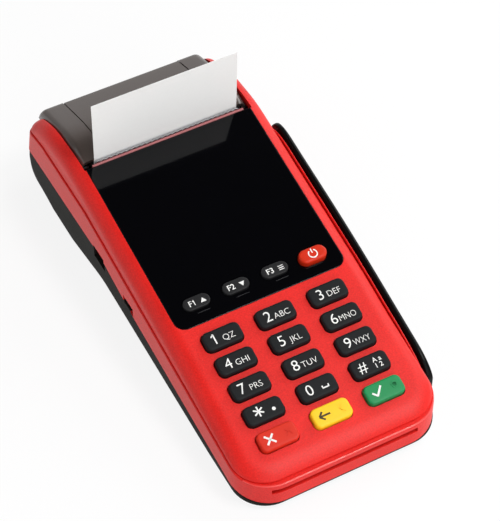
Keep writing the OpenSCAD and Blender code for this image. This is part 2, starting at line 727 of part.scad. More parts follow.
// Printer cover, hinged at the rear
cover_top = concat([for (p = cover_brow) [cover_front_y + p.x, exit_z + p.y]],
  [for (p = cover_tail) [hinge_y + p.x, exit_z + p.y]],
  arc([hinge_y, hinge_z], tail_r, tail_turn[0], tail_turn[1]));
cover_end_y = hinge_y - knuckle_r - cover_wall;
module cover_side(drop) polygon(concat([for (p = cover_top) p - [0, drop]],
  [[hinge_y, hinge_z - cover_skirt], [cover_front_y, hinge_z - cover_skirt]]));
module cover_form() intersection() {
  across(-cover_hw, cover_hw) cover_side(0);
  roof(cover_front_y, exit_z + cover_brow[2].y + hair, 0, cover_edge_r + cover_in, cover_in, 0);
  roof(hinge_y + cover_tail[0].x, exit_z + cover_tail[0].y + hair, -cover_fall, cover_edge_r + cover_in,
    cover_in, 0);
}
// Hollow of the cover, open to the front and below, up to the hinge barrel
module cover_hollow() across(cover_wall - cover_hw, cover_hw - cover_wall) polygon(concat(
  [cover_top[0] - [cover_open, cover_skin]], [for (i = [0 : 4]) cover_top[i] - [0, cover_skin]],
  [[cover_end_y, lookup(cover_end_y, cover_top) - cover_skin], [cover_end_y, hinge_z - cover_open],
    [cover_front_y - cover_open, hinge_z - cover_open]]));
module printer_cover() color(smoke) difference() {
  union() {
    difference() {
      cover_form();
      cover_hollow();
    }
    rod(knuckle_r, -cover_hw, cover_hw, hinge_y, hinge_z);
    both_sides() rod(bush_r + bush_wall, cover_hw - cover_wall, cover_hw, platen_y, platen_z);
  }
  rod(hinge_r + running, -far, far, hinge_y, hinge_z);
  rod(bush_r, -far, far, platen_y, platen_z);
  intersection() {
    window_band();
    across(-window_hw - window_gap, window_hw + window_gap) square(far);
  }
}
// Skin of the cover that the centre panel takes up
module window_band() intersection() {
  difference() {
    across(-window_hw - 1, window_hw + 1) cover_side(-hair);
    across(-window_hw - 2, window_hw + 2) cover_side(window_t);
  }
  translate([-far, window_y0, 0]) cube([2 * far, window_y1 - window_y0, far]);
}
module cover_window() color(smoke) intersection() {
  difference() {
    across(-window_hw, window_hw) cover_side(0);
    across(-window_hw - 2, window_hw + 2) cover_side(window_t);
  }
  translate([-far, window_y0 + window_gap, 0])
    cube([2 * far, window_y1 - window_y0 - 2 * window_gap, far]);
}
module hinge_pin() color(steel) rod(hinge_r, -cheek_in - pin_end, cheek_in + pin_end, hinge_y, hinge_z);

// Platen, carried by the cover
module platen_shaft() color(steel) rod(shaft_r, shaft_end - cover_hw, cover_hw - shaft_end, platen_y, platen_z);
module platen_roller() color(charcoal) difference() {
  rod(platen_r, -paper_w / 2 - roller_end, paper_w / 2 + roller_end, platen_y, platen_z);
  rod(shaft_r, -far, far, platen_y, platen_z);
}
module gear(teeth, phase, y, z, bore) difference() {
  across(gear_x, gear_x + gear_w) translate([y, z]) polygon(gear_points(teeth, phase));
  rod(bore, gear_x - 1, gear_x + gear_w + 1, y, z);
}
module platen_gear() color(charcoal) gear(platen_teeth, platen_phase, platen_y, platen_z, shaft_r);
module idler_gear() color(charcoal) gear(idler_teeth, idler_phase, idler_y, idler_z, shaft_r + running);
module motor_pinion() color([0.78, 0.62, 0.30]) {
  across(gear_x, gear_x + gear_w) translate([pinion_y, pinion_z])
    polygon(gear_points(pinion_teeth, pinion_phase));
  rod(shaft_r, plate_x - motor_shaft, gear_x + hair, pinion_y, pinion_z);
}
module platen_bushes() color(steel) both_sides() difference() {
  rod(bush_r, cover_hw - cover_wall, cover_hw, platen_y, platen_z);
  rod(shaft_r + running, 0, far, platen_y, platen_z);
}

// Print mechanism under the rear edge of the lens
module print_head() color([0.30, 0.20, 0.16]) translate([-paper_w / 2, head_y - head_t, sink_top - head_len])
  cube([paper_w, head_t, head_len]);
module head_sink() color(steel) translate([-paper_w / 2, head_y - head_t - sink_t, sink_top - sink_len])
  cube([paper_w, sink_t, sink_len]);
module printer_frame() color(steel) difference() {
  union() {
    translate([-plate_x - plate_t, frame_y, idler_z + frame_low])
      cube([2 * (plate_x + plate_t), frame_t, sink_top + frame_high - idler_z - frame_low]);
    translate([plate_x, pinion_y - plate_front, leg_z])
      cube([plate_t, idler_y - pinion_y + plate_front + plate_back, idler_z + plate_top - leg_z]);
    translate([-plate_x - plate_t, frame_y - 1, leg_z])
      cube([plate_t, leg_w, idler_z + plate_top - leg_z]);
    rod(shaft_r, plate_x + hair, gear_x + gear_w + gear_side, idler_y, idler_z);
  }
  rod(shaft_r + shaft_hole, plate_x - 1, plate_x + plate_t + lens_gap, pinion_y, pinion_z);
}
module printer_motor() color(steel) difference() {
  rod(motor_r, plate_x - motor_len, plate_x, pinion_y, pinion_z);
  rod(shaft_r + running, plate_x - motor_shaft - gap, plate_x + 1, pinion_y, pinion_z);
}
module tear_bar() color(steel) translate([0, bar_y + bar_t, 0]) rotate([90, 0, 0]) linear_extrude(bar_t)
  polygon(concat([[paper_w / 2, sink_top], [-paper_w / 2, sink_top]], [for (i = [0 : 2 * tear_teeth])
    [-paper_w / 2 + i * paper_w / (2 * tear_teeth), exit_z + (i % 2) * tear_h]]));

// Paper
module paper_roll() color(white) difference() {
  rod(roll_r, -paper_w / 2, paper_w / 2, roll_y, roll_z);
  rod(core_r, -far, far, roll_y, roll_z);
}
module roll_core() color([0.75, 0.68, 0.55]) difference() {
  rod(core_r, -paper_w / 2, paper_w / 2, roll_y, roll_z);
  rod(core_r - core_wall, -far, far, roll_y, roll_z);
}
module paper_strip() color(white) across(-paper_w / 2, paper_w / 2) polygon([
  [strip_y, platen_z - strip_low], [strip_y + paper_t, platen_z - strip_low],
  [strip_y + paper_t, sink_top + paper_t], [exit_y + strip_exit, exit_z],
  [exit_y + strip_exit - strip_lean, exit_z + paper_up],
  [exit_y + strip_exit - strip_lean - paper_t, exit_z + paper_up],
  [exit_y + strip_exit - paper_t, exit_z], [strip_y, sink_top + paper_t]]);
module paper_bay() color(black) difference() {
  intersection() {
    rod(bay_r + bay_wall, -bay_hw - bay_wall, bay_hw + bay_wall, roll_y, bay_z);
    translate([-far, 0, 0]) cube([2 * far, 2 * far, bay_rim_z]);
  }
  rod(bay_r, -bay_hw, bay_hw, roll_y, bay_z);
  rod(motor_r + motor_gap, plate_x - motor_len - motor_gap, plate_x + motor_gap, pinion_y, pinion_z);
}

// Power, ports and sound
module battery_pack() color([0.20, 0.22, 0.26]) on_belly() translate([-battery_w / 2, battery_y0, wall])
  cube([battery_w, battery_len, battery_t]);
module battery_door() color(black) on_belly() translate([0, door_y0 + door_len / 2, 0])
  round_plate(door_w - 2 * door_gap, door_len - 2 * door_gap, door_r - door_gap, 0, wall);
module port_board() color(board_green) translate([port_board_in - in_hw, usb_y - port_board_end, port_board_z])
  cube([port_board_w, jack_y - usb_y + 2 * port_board_end - 1, port_board_t]);
module at_port(y, w) translate([-in_hw - port_out, y - w / 2, port_board_z + port_board_t]) children();
module usb_socket() color(steel) at_port(usb_y, usb_w) difference() {
  cube([port_depth, usb_w, usb_h]);
  translate([-port_floor, usb_wall, usb_wall]) cube([port_depth, usb_w - 2 * usb_wall, usb_h - 2 * usb_wall]);
}
module power_jack() color(black) at_port(jack_y, jack_w) difference() {
  cube([port_depth, jack_w, jack_h]);
  translate([-port_floor, jack_w / 2, jack_h / 2]) rotate([0, 90, 0])
    cylinder(r = jack_r, h = port_depth - port_floor);
}
module loudspeaker() color(black) translate([speaker_at.x, speaker_at.y, floor_z])
  cylinder(r = speaker_r, h = slot_z - reader_floor - speaker_gap - floor_z);
module coin_cell() color(steel) on_lens() translate([cell_at.x, cell_at.y, main_board_z - cell_t])
  cylinder(r = cell_r, h = cell_t);

module screw(p) translate([p.x, p.y, belly_height(p.y) + screw_seat]) {
  translate([0, 0, -screw_head_t]) cylinder(r = screw_head_r, h = screw_head_t);
  translate([0, 0, -hair]) cylinder(r = screw_r, h = seam_z(p.y) + screw_bite - 2 - belly_height(p.y) - screw_seat);
}
module case_screws() color(steel) both_sides() for (p = [front_screw, rear_screw]) screw(p);
module rubber_feet() color(charcoal) both_sides() for (p = feet) translate([p.x, p.y, 0])
  cylinder(r = foot_r, h = foot_h + foot_sink);

placed() top_case();
placed() middle_case();
placed() base_shell();
placed() swipe_rail();
placed() display_lens();
placed() display_module();
placed() keypad_mat();
placed() key_board();
placed() main_board();
for (k = KEYS) placed() pad_key(k);
for (k = FKEYS) placed() lens_key(k);
placed() card_reader();
placed() card_contacts();
placed() mag_head();
placed() mag_spring();
placed() printer_cover();
placed() cover_window();
placed() hinge_pin();
placed() platen_shaft();
placed() platen_roller();
placed() platen_gear();
placed() platen_bushes();
placed() print_head();
placed() head_sink();
placed() printer_frame();
placed() idler_gear();
placed() printer_motor();
placed() motor_pinion();
placed() paper_roll();
placed() roll_core();
placed() paper_strip();
placed() tear_bar();
placed() paper_bay();
placed() battery_pack();
placed() battery_door();
placed() port_board();
placed() usb_socket();
placed() power_jack();
placed() loudspeaker();
placed() coin_cell();
placed() case_screws();
placed() rubber_feet();
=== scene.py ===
"""Looks of a hand-held payment terminal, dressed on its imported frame.

Shapes are worked out in millimetres in the case's own frame: X to the right of the keypad's middle,
Y from the front face to the rear, Z up from the table. to_row() moves them to the row frame in metres.
"""

import json
import math

import bmesh
import bpy
import numpy as np
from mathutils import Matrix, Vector


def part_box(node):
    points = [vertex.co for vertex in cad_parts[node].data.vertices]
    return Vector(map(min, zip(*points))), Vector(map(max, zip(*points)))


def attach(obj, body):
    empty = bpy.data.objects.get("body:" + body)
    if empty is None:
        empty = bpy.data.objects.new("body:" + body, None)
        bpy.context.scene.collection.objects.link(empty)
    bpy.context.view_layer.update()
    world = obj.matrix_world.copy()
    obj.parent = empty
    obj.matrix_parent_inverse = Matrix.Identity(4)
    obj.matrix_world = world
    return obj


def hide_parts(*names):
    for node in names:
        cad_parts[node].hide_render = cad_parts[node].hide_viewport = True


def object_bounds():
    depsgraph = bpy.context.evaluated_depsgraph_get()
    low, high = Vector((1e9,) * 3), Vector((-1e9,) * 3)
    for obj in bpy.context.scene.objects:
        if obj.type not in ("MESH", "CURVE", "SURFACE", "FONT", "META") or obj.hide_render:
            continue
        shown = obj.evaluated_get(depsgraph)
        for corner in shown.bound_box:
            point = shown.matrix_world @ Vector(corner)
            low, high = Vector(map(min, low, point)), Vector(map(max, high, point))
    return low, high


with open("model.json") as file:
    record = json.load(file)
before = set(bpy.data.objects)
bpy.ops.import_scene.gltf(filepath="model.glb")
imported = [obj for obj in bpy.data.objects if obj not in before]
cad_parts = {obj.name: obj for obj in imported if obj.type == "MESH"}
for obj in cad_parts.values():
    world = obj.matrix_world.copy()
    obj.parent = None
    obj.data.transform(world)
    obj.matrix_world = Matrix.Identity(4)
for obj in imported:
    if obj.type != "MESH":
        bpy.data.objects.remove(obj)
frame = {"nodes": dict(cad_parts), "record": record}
cad_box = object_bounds()
nodes = frame["nodes"]
scene = bpy.context.scene


def cos_sin(deg):
    """Cosine and sine of an angle in degrees."""
    return math.cos(math.radians(deg)), math.sin(math.radians(deg))


# Sizes of the case, in millimetres and degrees; a hair keeps two faces from lying in one
WALL, GAP, HAIR = 2.0, 0.3, 0.02
RAIL_OUT = 4.0
# The top case and the base stand back from the middle case
SIDE_LIP, FRONT_LIP, BASE_IN = 0.6, 2.0, 0.3
CASE_LEN = (cad_box[1][1] - cad_box[0][1]) * 1000
CASE_HW = (cad_box[1][0] - cad_box[0][0]) * 500 - RAIL_OUT / 2
ORIGIN = np.array([RAIL_OUT / 2, CASE_LEN / 2, 0.0])
# The keypad slope meets the lens slope at the crease
CREASE_Y, CREASE_Z = 59.0, 29.5
KEYPAD_TILT, LENS_TILT = 14.0, 10.5
# Lens: its start above the crease, length with the rim behind it, width, thickness and front corners
LENS_Y0, LENS_LEN, LENS_RIM = 1.7, 73.6, 0.9
LENS_W, LENS_T, LENS_R = 65.8, 1.6, 4.0
LENS_MID = LENS_Y0 + (LENS_LEN - LENS_RIM) / 2
# Keypad keys: outline, stand above the face, edge radius and crown, then their grid
KEY_W, KEY_H, KEY_R = 14.2, 7.2, 2.1
KEY_PROUD, KEY_EDGE, KEY_CROWN = 2.0, 0.75, 0.03
PITCH_X, PITCH_Y, ROW_1 = 20.4, 10.04, 6.18
FKEY_PITCH, FKEY_Y = 15.2, 9.15
# The paper exit is at the end of the lens slope
EXIT_Y = CREASE_Y + (LENS_Y0 + LENS_LEN) * cos_sin(LENS_TILT)[0]
EXIT_Z = CREASE_Z + (LENS_Y0 + LENS_LEN) * cos_sin(LENS_TILT)[1]
CHEEK_IN, COVER_HW, WINDOW_HW = CASE_HW - 5.1, CASE_HW - 5.4, CASE_HW - 15.0


def corners(node):
    """Lowest and highest corner of a node, in case millimetres."""
    return [np.array(corner) * 1000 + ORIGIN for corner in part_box(node)]


def middle_of(node):
    """Middle of a node's box, in case millimetres."""
    return sum(corners(node)) / 2


HINGE_Y, HINGE_Z = middle_of("hinge_pin")[1:]
ROLL_Y = middle_of("paper_roll")[1]


# Surfaces

def tan_deg(a):
    """Tangent of an angle in degrees."""
    return math.tan(math.radians(a))


def to_row(points):
    """Case millimetres to row metres: take away the case's middle and scale."""
    return (np.asarray(points, float) - ORIGIN) * 0.001


def on_slope(points, tilt, start=(CREASE_Y, CREASE_Z)):
    """Points of a sloped face (x, distance up the slope, height off it), turned about X at its start."""
    x, along, off = np.moveaxis(np.asarray(points, float), -1, 0)
    c, s = cos_sin(tilt)
    return np.stack([x, start[0] + along * c - off * s, start[1] + along * s + off * c], axis=-1)


def soft_min(a, b, r):
    """The smaller of two heights, with the corner between them rounded over about r."""
    h = np.clip(0.5 + 0.5 * (b - a) / r, 0, 1)
    return b * (1 - h) + a * h - r * h * (1 - h)


# Rear falls of the cheeks: distance from the hinge, height from the paper exit, slope
FALLS = ((-18.0, -0.7, 8.0), (-9.0, -2.9, 22.0), (0.4, -7.8, 32.0))
CHEEK_RISE = 0.5
CREASE_BLEND, CHEEK_BLEND, FALL_BLEND = 0.4, 1.2, 2.0


def face_z(y):
    """Height of the top face: keypad slope, lens slope, level cheek, then three steeper and steeper
    falls to the rear, each blended into the next."""
    keypad = CREASE_Z + (y - CREASE_Y) * tan_deg(KEYPAD_TILT)
    lens = CREASE_Z + (y - CREASE_Y) * tan_deg(LENS_TILT)
    z = soft_min(soft_min(keypad, lens, CREASE_BLEND), EXIT_Z + CHEEK_RISE, CHEEK_BLEND)
    for along, up, slope in FALLS:
        z = soft_min(z, EXIT_Z + up - (y - HINGE_Y - along) * tan_deg(slope), FALL_BLEND)
    return z


# Groove: height and end of its level front, height and start of its level rear, then its fall
GROOVE_LOW, GROOVE_Y0 = 13.0, 8.0
GROOVE_HIGH, GROOVE_Y1 = HINGE_Z - 1.12, EXIT_Y - 9.0
GROOVE_FALL, GROOVE_FALL_Y = 0.2, HINGE_Y - 10.0


def groove_z(y):
    """Height of the groove between top and middle case: level, a straight climb, level, a short fall."""
    share = np.clip(np.minimum(y, GROOVE_Y1) - GROOVE_Y0, 0, None) / (GROOVE_Y1 - GROOVE_Y0)
    fall = GROOVE_FALL * np.clip(y - GROOVE_FALL_Y, 0, None)
    return GROOVE_LOW + (GROOVE_HIGH - GROOVE_LOW) * share - fall


# Red and black line: height at the front and its climb, its top, how long the steep part is, its fall
SEAM_FRONT, SEAM_CLIMB = 3.1, 0.1235
SEAM_TOP_Y, SEAM_TOP_Z = EXIT_Y - 21.04, 19.6
SEAM_STEEP, SEAM_FALL = 27.0, 0.04


def seam_z(y):
    """Height of the red and black line: a slow climb, a steeper one beside the ports, a slow fall."""
    turn_y = SEAM_TOP_Y - SEAM_STEEP
    turn_z = SEAM_FRONT + SEAM_CLIMB * turn_y
    steep = turn_z + (y - turn_y) * (SEAM_TOP_Z - turn_z) / SEAM_STEEP
    fall = SEAM_TOP_Z - (y - SEAM_TOP_Y) * SEAM_FALL
    return np.where(y < turn_y, SEAM_FRONT + SEAM_CLIMB * y, np.where(y < SEAM_TOP_Y, steep, fall))


# Underside: height of its flats, start and tilt of the belly's climb, front and tilt of the paper bulge
FLOOR_Z = 0.8
BELLY_Y0, BELLY_TILT, BELLY_BLEND = 30.0, 3.36, 1.2
BULGE_Y, BULGE_TILT = ROLL_Y - 15.0, 10.3


def belly_z(y):
    """Height of the underside: flat, a slow climb to a peak, down again to the flat of the paper bulge."""
    climb = FLOOR_Z + np.clip(y - BELLY_Y0, 0, None) * tan_deg(BELLY_TILT)
    bulge = FLOOR_Z + np.clip(BULGE_Y - y, 0, None) * tan_deg(BULGE_TILT)
    return soft_min(climb, bulge, BELLY_BLEND)


# Rear wall: height where it reaches furthest back, lean above it, tuck below it, corners from above
REAR_KNEE, REAR_LEAN, REAR_TUCK, REAR_R = 12.6, 15.4, 0.12, 5.0
# Length over which the sides give way to the rear wall's lean
REAR_REACH = 60.0


def rear_y(z):
    """Distance of the rear wall at a height: furthest back at the knee, leaning above it, tucked below."""
    above = CASE_LEN - (z - REAR_KNEE) * tan_deg(REAR_LEAN)
    return np.where(z > REAR_KNEE, above, CASE_LEN - (REAR_KNEE - z) * REAR_TUCK)


# Columns round the case: front, front corner, side, rear corner and rear, then their mirror images
N_FRONT, N_FCORNER, N_SIDE, N_RCORNER, N_REAR = 12, 14, 110, 9, 12


def outline(half_w, y_front, y_rear, r_front, r_rear):
    """Right half of a rounded rectangle seen from above, from the front's middle to the rear's middle,
    then the left half as its mirror image, as one closed ring of x and y."""
    rf, rr = np.clip([r_front, r_rear], 0.3, half_w - 0.1)
    front = (np.arange(N_FRONT) + 0.5) / N_FRONT
    side = (np.arange(N_SIDE) + 1) / (N_SIDE + 1)
    rear = 1 - (np.arange(N_REAR) + 0.5) / N_REAR
    a = np.radians(np.linspace(0, 90, N_FCORNER))
    b = np.radians(np.linspace(0, 90, N_RCORNER))
    x = np.concatenate([front * (half_w - rf), half_w - rf + rf * np.sin(a), np.full(N_SIDE, half_w),
                        half_w - rr + rr * np.cos(b), rear * (half_w - rr)])
    y = np.concatenate([np.full(N_FRONT, y_front), y_front + rf - rf * np.cos(a),
                        y_front + rf + side * (y_rear - rr - y_front - rf),
                        y_rear - rr + rr * np.sin(b), np.full(N_REAR, y_rear)])
    return np.concatenate([x, -x[::-1]]), np.concatenate([y, y[::-1]])


def wrapped_ring(form, height, side=0.0, front=None, rear=None):
    """A ring round the case: form is its half width, front line and front corner, and side, front and
    rear set it in. Its height is a function of y. Its rear follows the leaning wall at that height:
    over its rear reach the columns slide along Y to make room, so the sides stay plane."""
    half_w, y_front, r_front = form
    front = side if front is None else front
    rear = side if rear is None else rear
    x, y = outline(half_w - side, y_front + front, CASE_LEN - rear, r_front - side, REAR_R - side)
    share = np.clip((y - (CASE_LEN - REAR_REACH)) / REAR_REACH, 0, 1)
    z = height(y)
    for _ in range(3):
        z = height(y - (CASE_LEN - rear_y(z)) * share)
    return np.stack([x, y - (CASE_LEN - rear_y(z)) * share, z], axis=-1)


def grid_faces(rows, columns, wrap_columns=True, wrap_rows=False):
    """Quads of a grid of points, joined round its columns and, if asked, its rows."""
    i = np.arange(rows * columns).reshape(rows, columns)
    if wrap_columns:
        i = np.concatenate([i, i[:, :1]], axis=1)
    if wrap_rows:
        i = np.concatenate([i, i[:1]], axis=0)
    return np.stack([i[:-1, :-1], i[:-1, 1:], i[1:, 1:], i[1:, :-1]], axis=-1).reshape(-1, 4)


def mirror_cap(first, columns):
    """Quads that close a ring whose second half mirrors its first, rung by rung."""
    k = np.arange(columns // 2 - 1)
    return first + np.stack([k, k + 1, columns - 2 - k, columns - 1 - k], axis=-1)


def added(name, data):
    """A new object of the scene, at the origin."""
    obj = bpy.data.objects.new(name, data)
    scene.collection.objects.link(obj)
    return obj


def baked(obj):
    """A new mesh with an object's modifiers applied, or with its curves filled."""
    bpy.context.view_layer.update()
    return bpy.data.meshes.new_from_object(obj.evaluated_get(bpy.context.evaluated_depsgraph_get()))


def tidy_mesh(obj, smooth_deg):
    """Merges doubled points, turns the faces outwards and shades smooth up to an angle."""
    bm = bmesh.new()
    bm.from_mesh(obj.data)
    bmesh.ops.remove_doubles(bm, verts=bm.verts, dist=1e-7)
    bmesh.ops.dissolve_degenerate(bm, edges=bm.edges, dist=1e-7)
    bmesh.ops.recalc_face_normals(bm, faces=bm.faces)
    bm.to_mesh(obj.data)
    bm.free()
    obj.data.polygons.foreach_set("use_smooth", np.ones(len(obj.data.polygons), bool))
    obj.data.set_sharp_from_angle(angle=math.radians(smooth_deg))


def make_mesh(name, points, faces, smooth_deg=35.0):
    """A mesh object at the origin from case points and faces, with its normals turned outwards."""
    mesh = bpy.data.meshes.new(name)
    mesh.from_pydata(to_row(points).reshape(-1, 3).tolist(), [], [list(map(int, f)) for f in faces])
    mesh.validate()
    obj = added(name, mesh)
    tidy_mesh(obj, smooth_deg)
    return obj


def stacked(name, rings, smooth_deg=35.0):
    """A closed shell from a stack of rings whose first and last are closed by rungs."""
    rings = np.stack(rings)
    rows, columns = rings.shape[:2]
    faces = np.concatenate([grid_faces(rows, columns), mirror_cap(0, columns)[:, ::-1],
                            mirror_cap((rows - 1) * columns, columns)])
    return make_mesh(name, rings.reshape(-1, 3), faces, smooth_deg)


def swept(name, points, smooth_deg=35.0, capped=True):
    """A closed profile carried along a line, its two ends closed unless they run out to an edge."""
    rows, columns = points.shape[:2]
    faces = grid_faces(rows, columns).tolist()
    if capped:
        faces += [list(range(columns))[::-1], list(range((rows - 1) * columns, rows * columns))]
    return make_mesh(name, points, faces, smooth_deg)


def slab(name, upper, lower, smooth_deg=35.0):
    """A closed sheet between two grids of points of the same size, joined along their four edges."""
    rows, columns = upper.shape[:2]
    n = rows * columns
    i = np.arange(n).reshape(rows, columns)
    loop = np.concatenate([i[0], i[1:, -1], i[-1, -2::-1], i[-2:0:-1, 0]])
    rim = np.stack([loop, np.roll(loop, -1), np.roll(loop, -1) + n, loop + n], axis=-1)
    skin = grid_faces(rows, columns, False)
    points = np.concatenate([upper.reshape(-1, 3), lower.reshape(-1, 3)])
    return make_mesh(name, points, np.concatenate([skin, n + skin[:, ::-1], rim]), smooth_deg)


def carved(obj, cutters, smooth_deg=35.0):
    """Takes the cutters out of obj for good, and tidies what is left."""
    for cutter in cutters:
        mod = obj.modifiers.new("cut", "BOOLEAN")
        mod.operation, mod.solver, mod.object = "DIFFERENCE", "EXACT", cutter
    done = baked(obj)
    obj.modifiers.clear()
    obj.data = done
    for cutter in cutters:
        bpy.data.objects.remove(cutter)
    tidy_mesh(obj, smooth_deg)
    obj.modifiers.new("face_weight", "WEIGHTED_NORMAL").keep_sharp = True
    return obj


def joined(name, parts):
    """One object from several closed meshes."""
    bm = bmesh.new()
    for part in parts:
        bm.from_mesh(part.data)
        bpy.data.objects.remove(part)
    mesh = bpy.data.meshes.new(name)
    bm.to_mesh(mesh)
    bm.free()
    return added(name, mesh)


def round_rect(w, h, r_front, r_rear, per_corner=9):
    """Rounded rectangle about the middle, its front and rear corners apart: right half from front to
    rear, then its mirror image."""
    most = min(w, h) / 2 - 1e-3
    rf, rr = min(r_front, most), min(r_rear, most)
    a = np.radians(np.linspace(-90, 0, per_corner))
    b = np.radians(np.linspace(0, 90, per_corner))
    x = np.concatenate([[w / 4 - rf / 2], w / 2 - rf + rf * np.cos(a), w / 2 - rr + rr * np.cos(b),
                        [w / 4 - rr / 2]])
    y = np.concatenate([[-h / 2], rf - h / 2 + rf * np.sin(a), h / 2 - rr + rr * np.sin(b), [h / 2]])
    return np.concatenate([x, -x[::-1]]), np.concatenate([y, y[::-1]])


LEAST_R = 0.05


def plate_rings(size, steps, tilt, centre, per_corner=9):
    """Rings of a rounded plate on a slope. Its size is width, height, front and rear corner; each step is
    how far a ring is set in, and its height off the slope."""
    w, h, rf, rr = size
    rings = []
    for inset, z in steps:
        front, rear = max(rf - inset, LEAST_R), max(rr - inset, LEAST_R)
        x, y = round_rect(w - 2 * inset, h - 2 * inset, front, rear, per_corner)
        rings.append(on_slope(np.stack([x + centre[0], y + centre[1], np.full_like(x, z)], axis=-1), tilt))
    return rings


def prism(size, z0, z1, tilt, centre, per_corner=9):
    """A plain rounded block on a slope, for cutting."""
    return stacked("cutter", plate_rings(size, [(0, z0), (0, z1)], tilt, centre, per_corner))


CUBE = np.array([[x, y, z] for z in (0, 1) for y in (0, 1) for x in (0, 1)], float)
CUBE_FACES = [(0, 1, 3, 2), (4, 5, 7, 6), (0, 1, 5, 4), (2, 3, 7, 6), (0, 2, 6, 4), (1, 3, 7, 5)]


def block(low, high):
    """A plain block between two corners, for cutting."""
    return make_mesh("cutter", np.array(low) + CUBE * (np.array(high) - np.array(low)), CUBE_FACES)


def belly_block(half_w, y0, y1, z0, z1):
    """A block on the sloped belly, for cutting."""
    p = np.array([-half_w, y0, z0]) + CUBE * np.array([2 * half_w, y1 - y0, z1 - z0])
    return make_mesh("cutter", on_slope(p, BELLY_TILT, (BELLY_Y0, FLOOR_Z)), CUBE_FACES)


def post(x, y, r, z0, z1):
    """A round post standing on end, for cutting."""
    count = 40
    a = (np.arange(count) + 0.5) * 2 * math.pi / count
    ring = np.stack([x + r * np.sin(a), y - r * np.cos(a), np.zeros(count)], axis=-1)
    return stacked("cutter", [ring + [0, 0, z0], ring + [0, 0, z1]])


# Finishes

class Wire:
    """A shader value that takes part in Python sums by adding Math nodes."""

    def __init__(self, finish, socket):
        self.finish, self.socket = finish, socket

    def _math(self, operation, a, b):
        """A Math node on two wires or numbers."""
        return self.finish.node("ShaderNodeMath", {"operation": operation}, {0: a, 1: b})

    def __add__(self, other):
        return self._math("ADD", self, other)

    def __rsub__(self, other):
        return self._math("SUBTRACT", other, self)

    def __mul__(self, other):
        return self._math("MULTIPLY", self, other)

    def __lt__(self, other):
        return self._math("LESS_THAN", self, other)

    __radd__, __rmul__ = __add__, __mul__


class Finish:
    """One material and its node tree; shine is the strength of its mirror part, 0.5 for plain plastic."""

    def __init__(self, name, color, rough, shine=0.5, metallic=0.0):
        self.material = bpy.data.materials.new(name)
        self.material.use_nodes = True
        self.tree = self.material.node_tree
        self.shader = self.tree.nodes["Principled BSDF"]
        self.color = color
        self.material.diffuse_color = (*color, 1)
        self.shade(Base_Color=(*color, 1), Roughness=rough, Specular_IOR_Level=shine, Metallic=metallic)

    def put(self, node, sockets):
        """Sets sockets of a node to values, or links them to wires."""
        for key, value in sockets.items():
            socket = node.inputs[key]
            if isinstance(value, Wire):
                self.tree.links.new(value.socket, socket)
            else:
                socket.default_value = value

    def node(self, kind, settings=None, sockets=None, out=0):
        """Any node: its type, its settings, the values or links of its sockets, and the output wanted."""
        made = self.tree.nodes.new(kind)
        for key, value in (settings or {}).items():
            setattr(made, key, value)
        self.put(made, sockets or {})
        return Wire(self, made.outputs[out])

    def place(self, stretch=None):
        """The place on the object, in metres, stretched along its axes if asked."""
        here = self.node("ShaderNodeTexCoord", out="Object")
        if stretch is None:
            return here
        return self.node("ShaderNodeMapping", None, {"Vector": here, "Scale": stretch})

    def noise(self, scale, detail=2.0, rough=0.5, stretch=None):
        """Smooth noise with so many spots to the metre."""
        return self.node("ShaderNodeTexNoise", None, {"Vector": self.place(stretch), "Scale": scale,
                                                      "Detail": detail, "Roughness": rough}, out="Fac")

    def tint(self, share, low, high):
        """The finish's own colour, from low to high times itself as share goes from 0 to 1."""
        a, b = ((*[min(1.0, c * k) for c in self.color], 1) for k in (low, high))
        return self.node("ShaderNodeMix", {"data_type": "RGBA"}, {0: share, 6: a, 7: b}, out=2)

    def bump(self, height, strength, depth):
        """Unevenness of the surface; depth in millimetres."""
        self.shade(Normal=self.node("ShaderNodeBump", None,
                                    {"Strength": strength, "Distance": depth * 0.001, "Height": height}))

    def shade(self, **sockets):
        """Sets or links sockets of the main shader, named with _ for each space."""
        self.put(self.shader, {key.replace("_", " "): value for key, value in sockets.items()})


def moulded(name, color, rough, grain, depth, shine=0.5, mottle=0.08):
    """Moulded plastic or rubber: a sand grain of about grain mm, and a drift of colour and of gloss."""
    f = Finish(name, color, rough, shine)
    fine = f.noise(1000.0 / grain, 2.0, 0.6)
    drift = f.noise(60.0, 3.0, 0.5)
    f.shade(Base_Color=f.tint(0.3 * drift + 0.7 * fine, 1 - mottle, 1 + mottle),
            Roughness=rough - 0.05 + 0.1 * drift)
    f.bump(fine, 0.5, depth)
    return f.material


def polished(name, color, rough, shine=0.5):
    """Polished plastic or glass: almost even, with a faint wave and fine handling marks in the gloss."""
    f = Finish(name, color, rough, shine)
    smear = f.noise(140.0, 4.0, 0.55)
    f.shade(Base_Color=f.tint(smear, 0.85, 1.15), Roughness=rough + 0.05 * smear)
    f.bump(f.noise(45.0, 1.0), 0.03, 0.4)
    return f.material


def metal(name, color, rough):
    """Rolled metal: fine lines along X in colour, gloss and height."""
    f = Finish(name, color, rough, metallic=1.0)
    lines = f.noise(1.0, 3.0, 0.5, (8.0, 900.0, 900.0))
    f.shade(Base_Color=f.tint(lines, 0.92, 1.06), Roughness=rough - 0.08 + 0.16 * lines)
    f.bump(lines, 0.12, 0.05)
    return f.material


def fibrous(name, color, rough):
    """Paper or card: short fibres in colour and height."""
    f = Finish(name, color, rough, 0.2)
    fibre = f.noise(900.0, 5.0, 0.7)
    f.shade(Base_Color=f.tint(fibre, 0.965, 1.02), Roughness=rough - 0.04 + 0.08 * fibre)
    f.bump(fibre, 0.12, 0.05)
    return f.material


def printed(name, color, rough):
    """Ink or paint of a key's mark, and also of the painted reflection lines on the lens: nearly even, with a
    fine unevenness in shade and gloss.
    """
    f = Finish(name, color, rough, 0.3)
    speck = f.noise(2500.0, 2.0, 0.5)
    f.shade(Base_Color=f.tint(speck, 0.94, 1.03), Roughness=rough - 0.05 + 0.1 * speck)
    return f.material


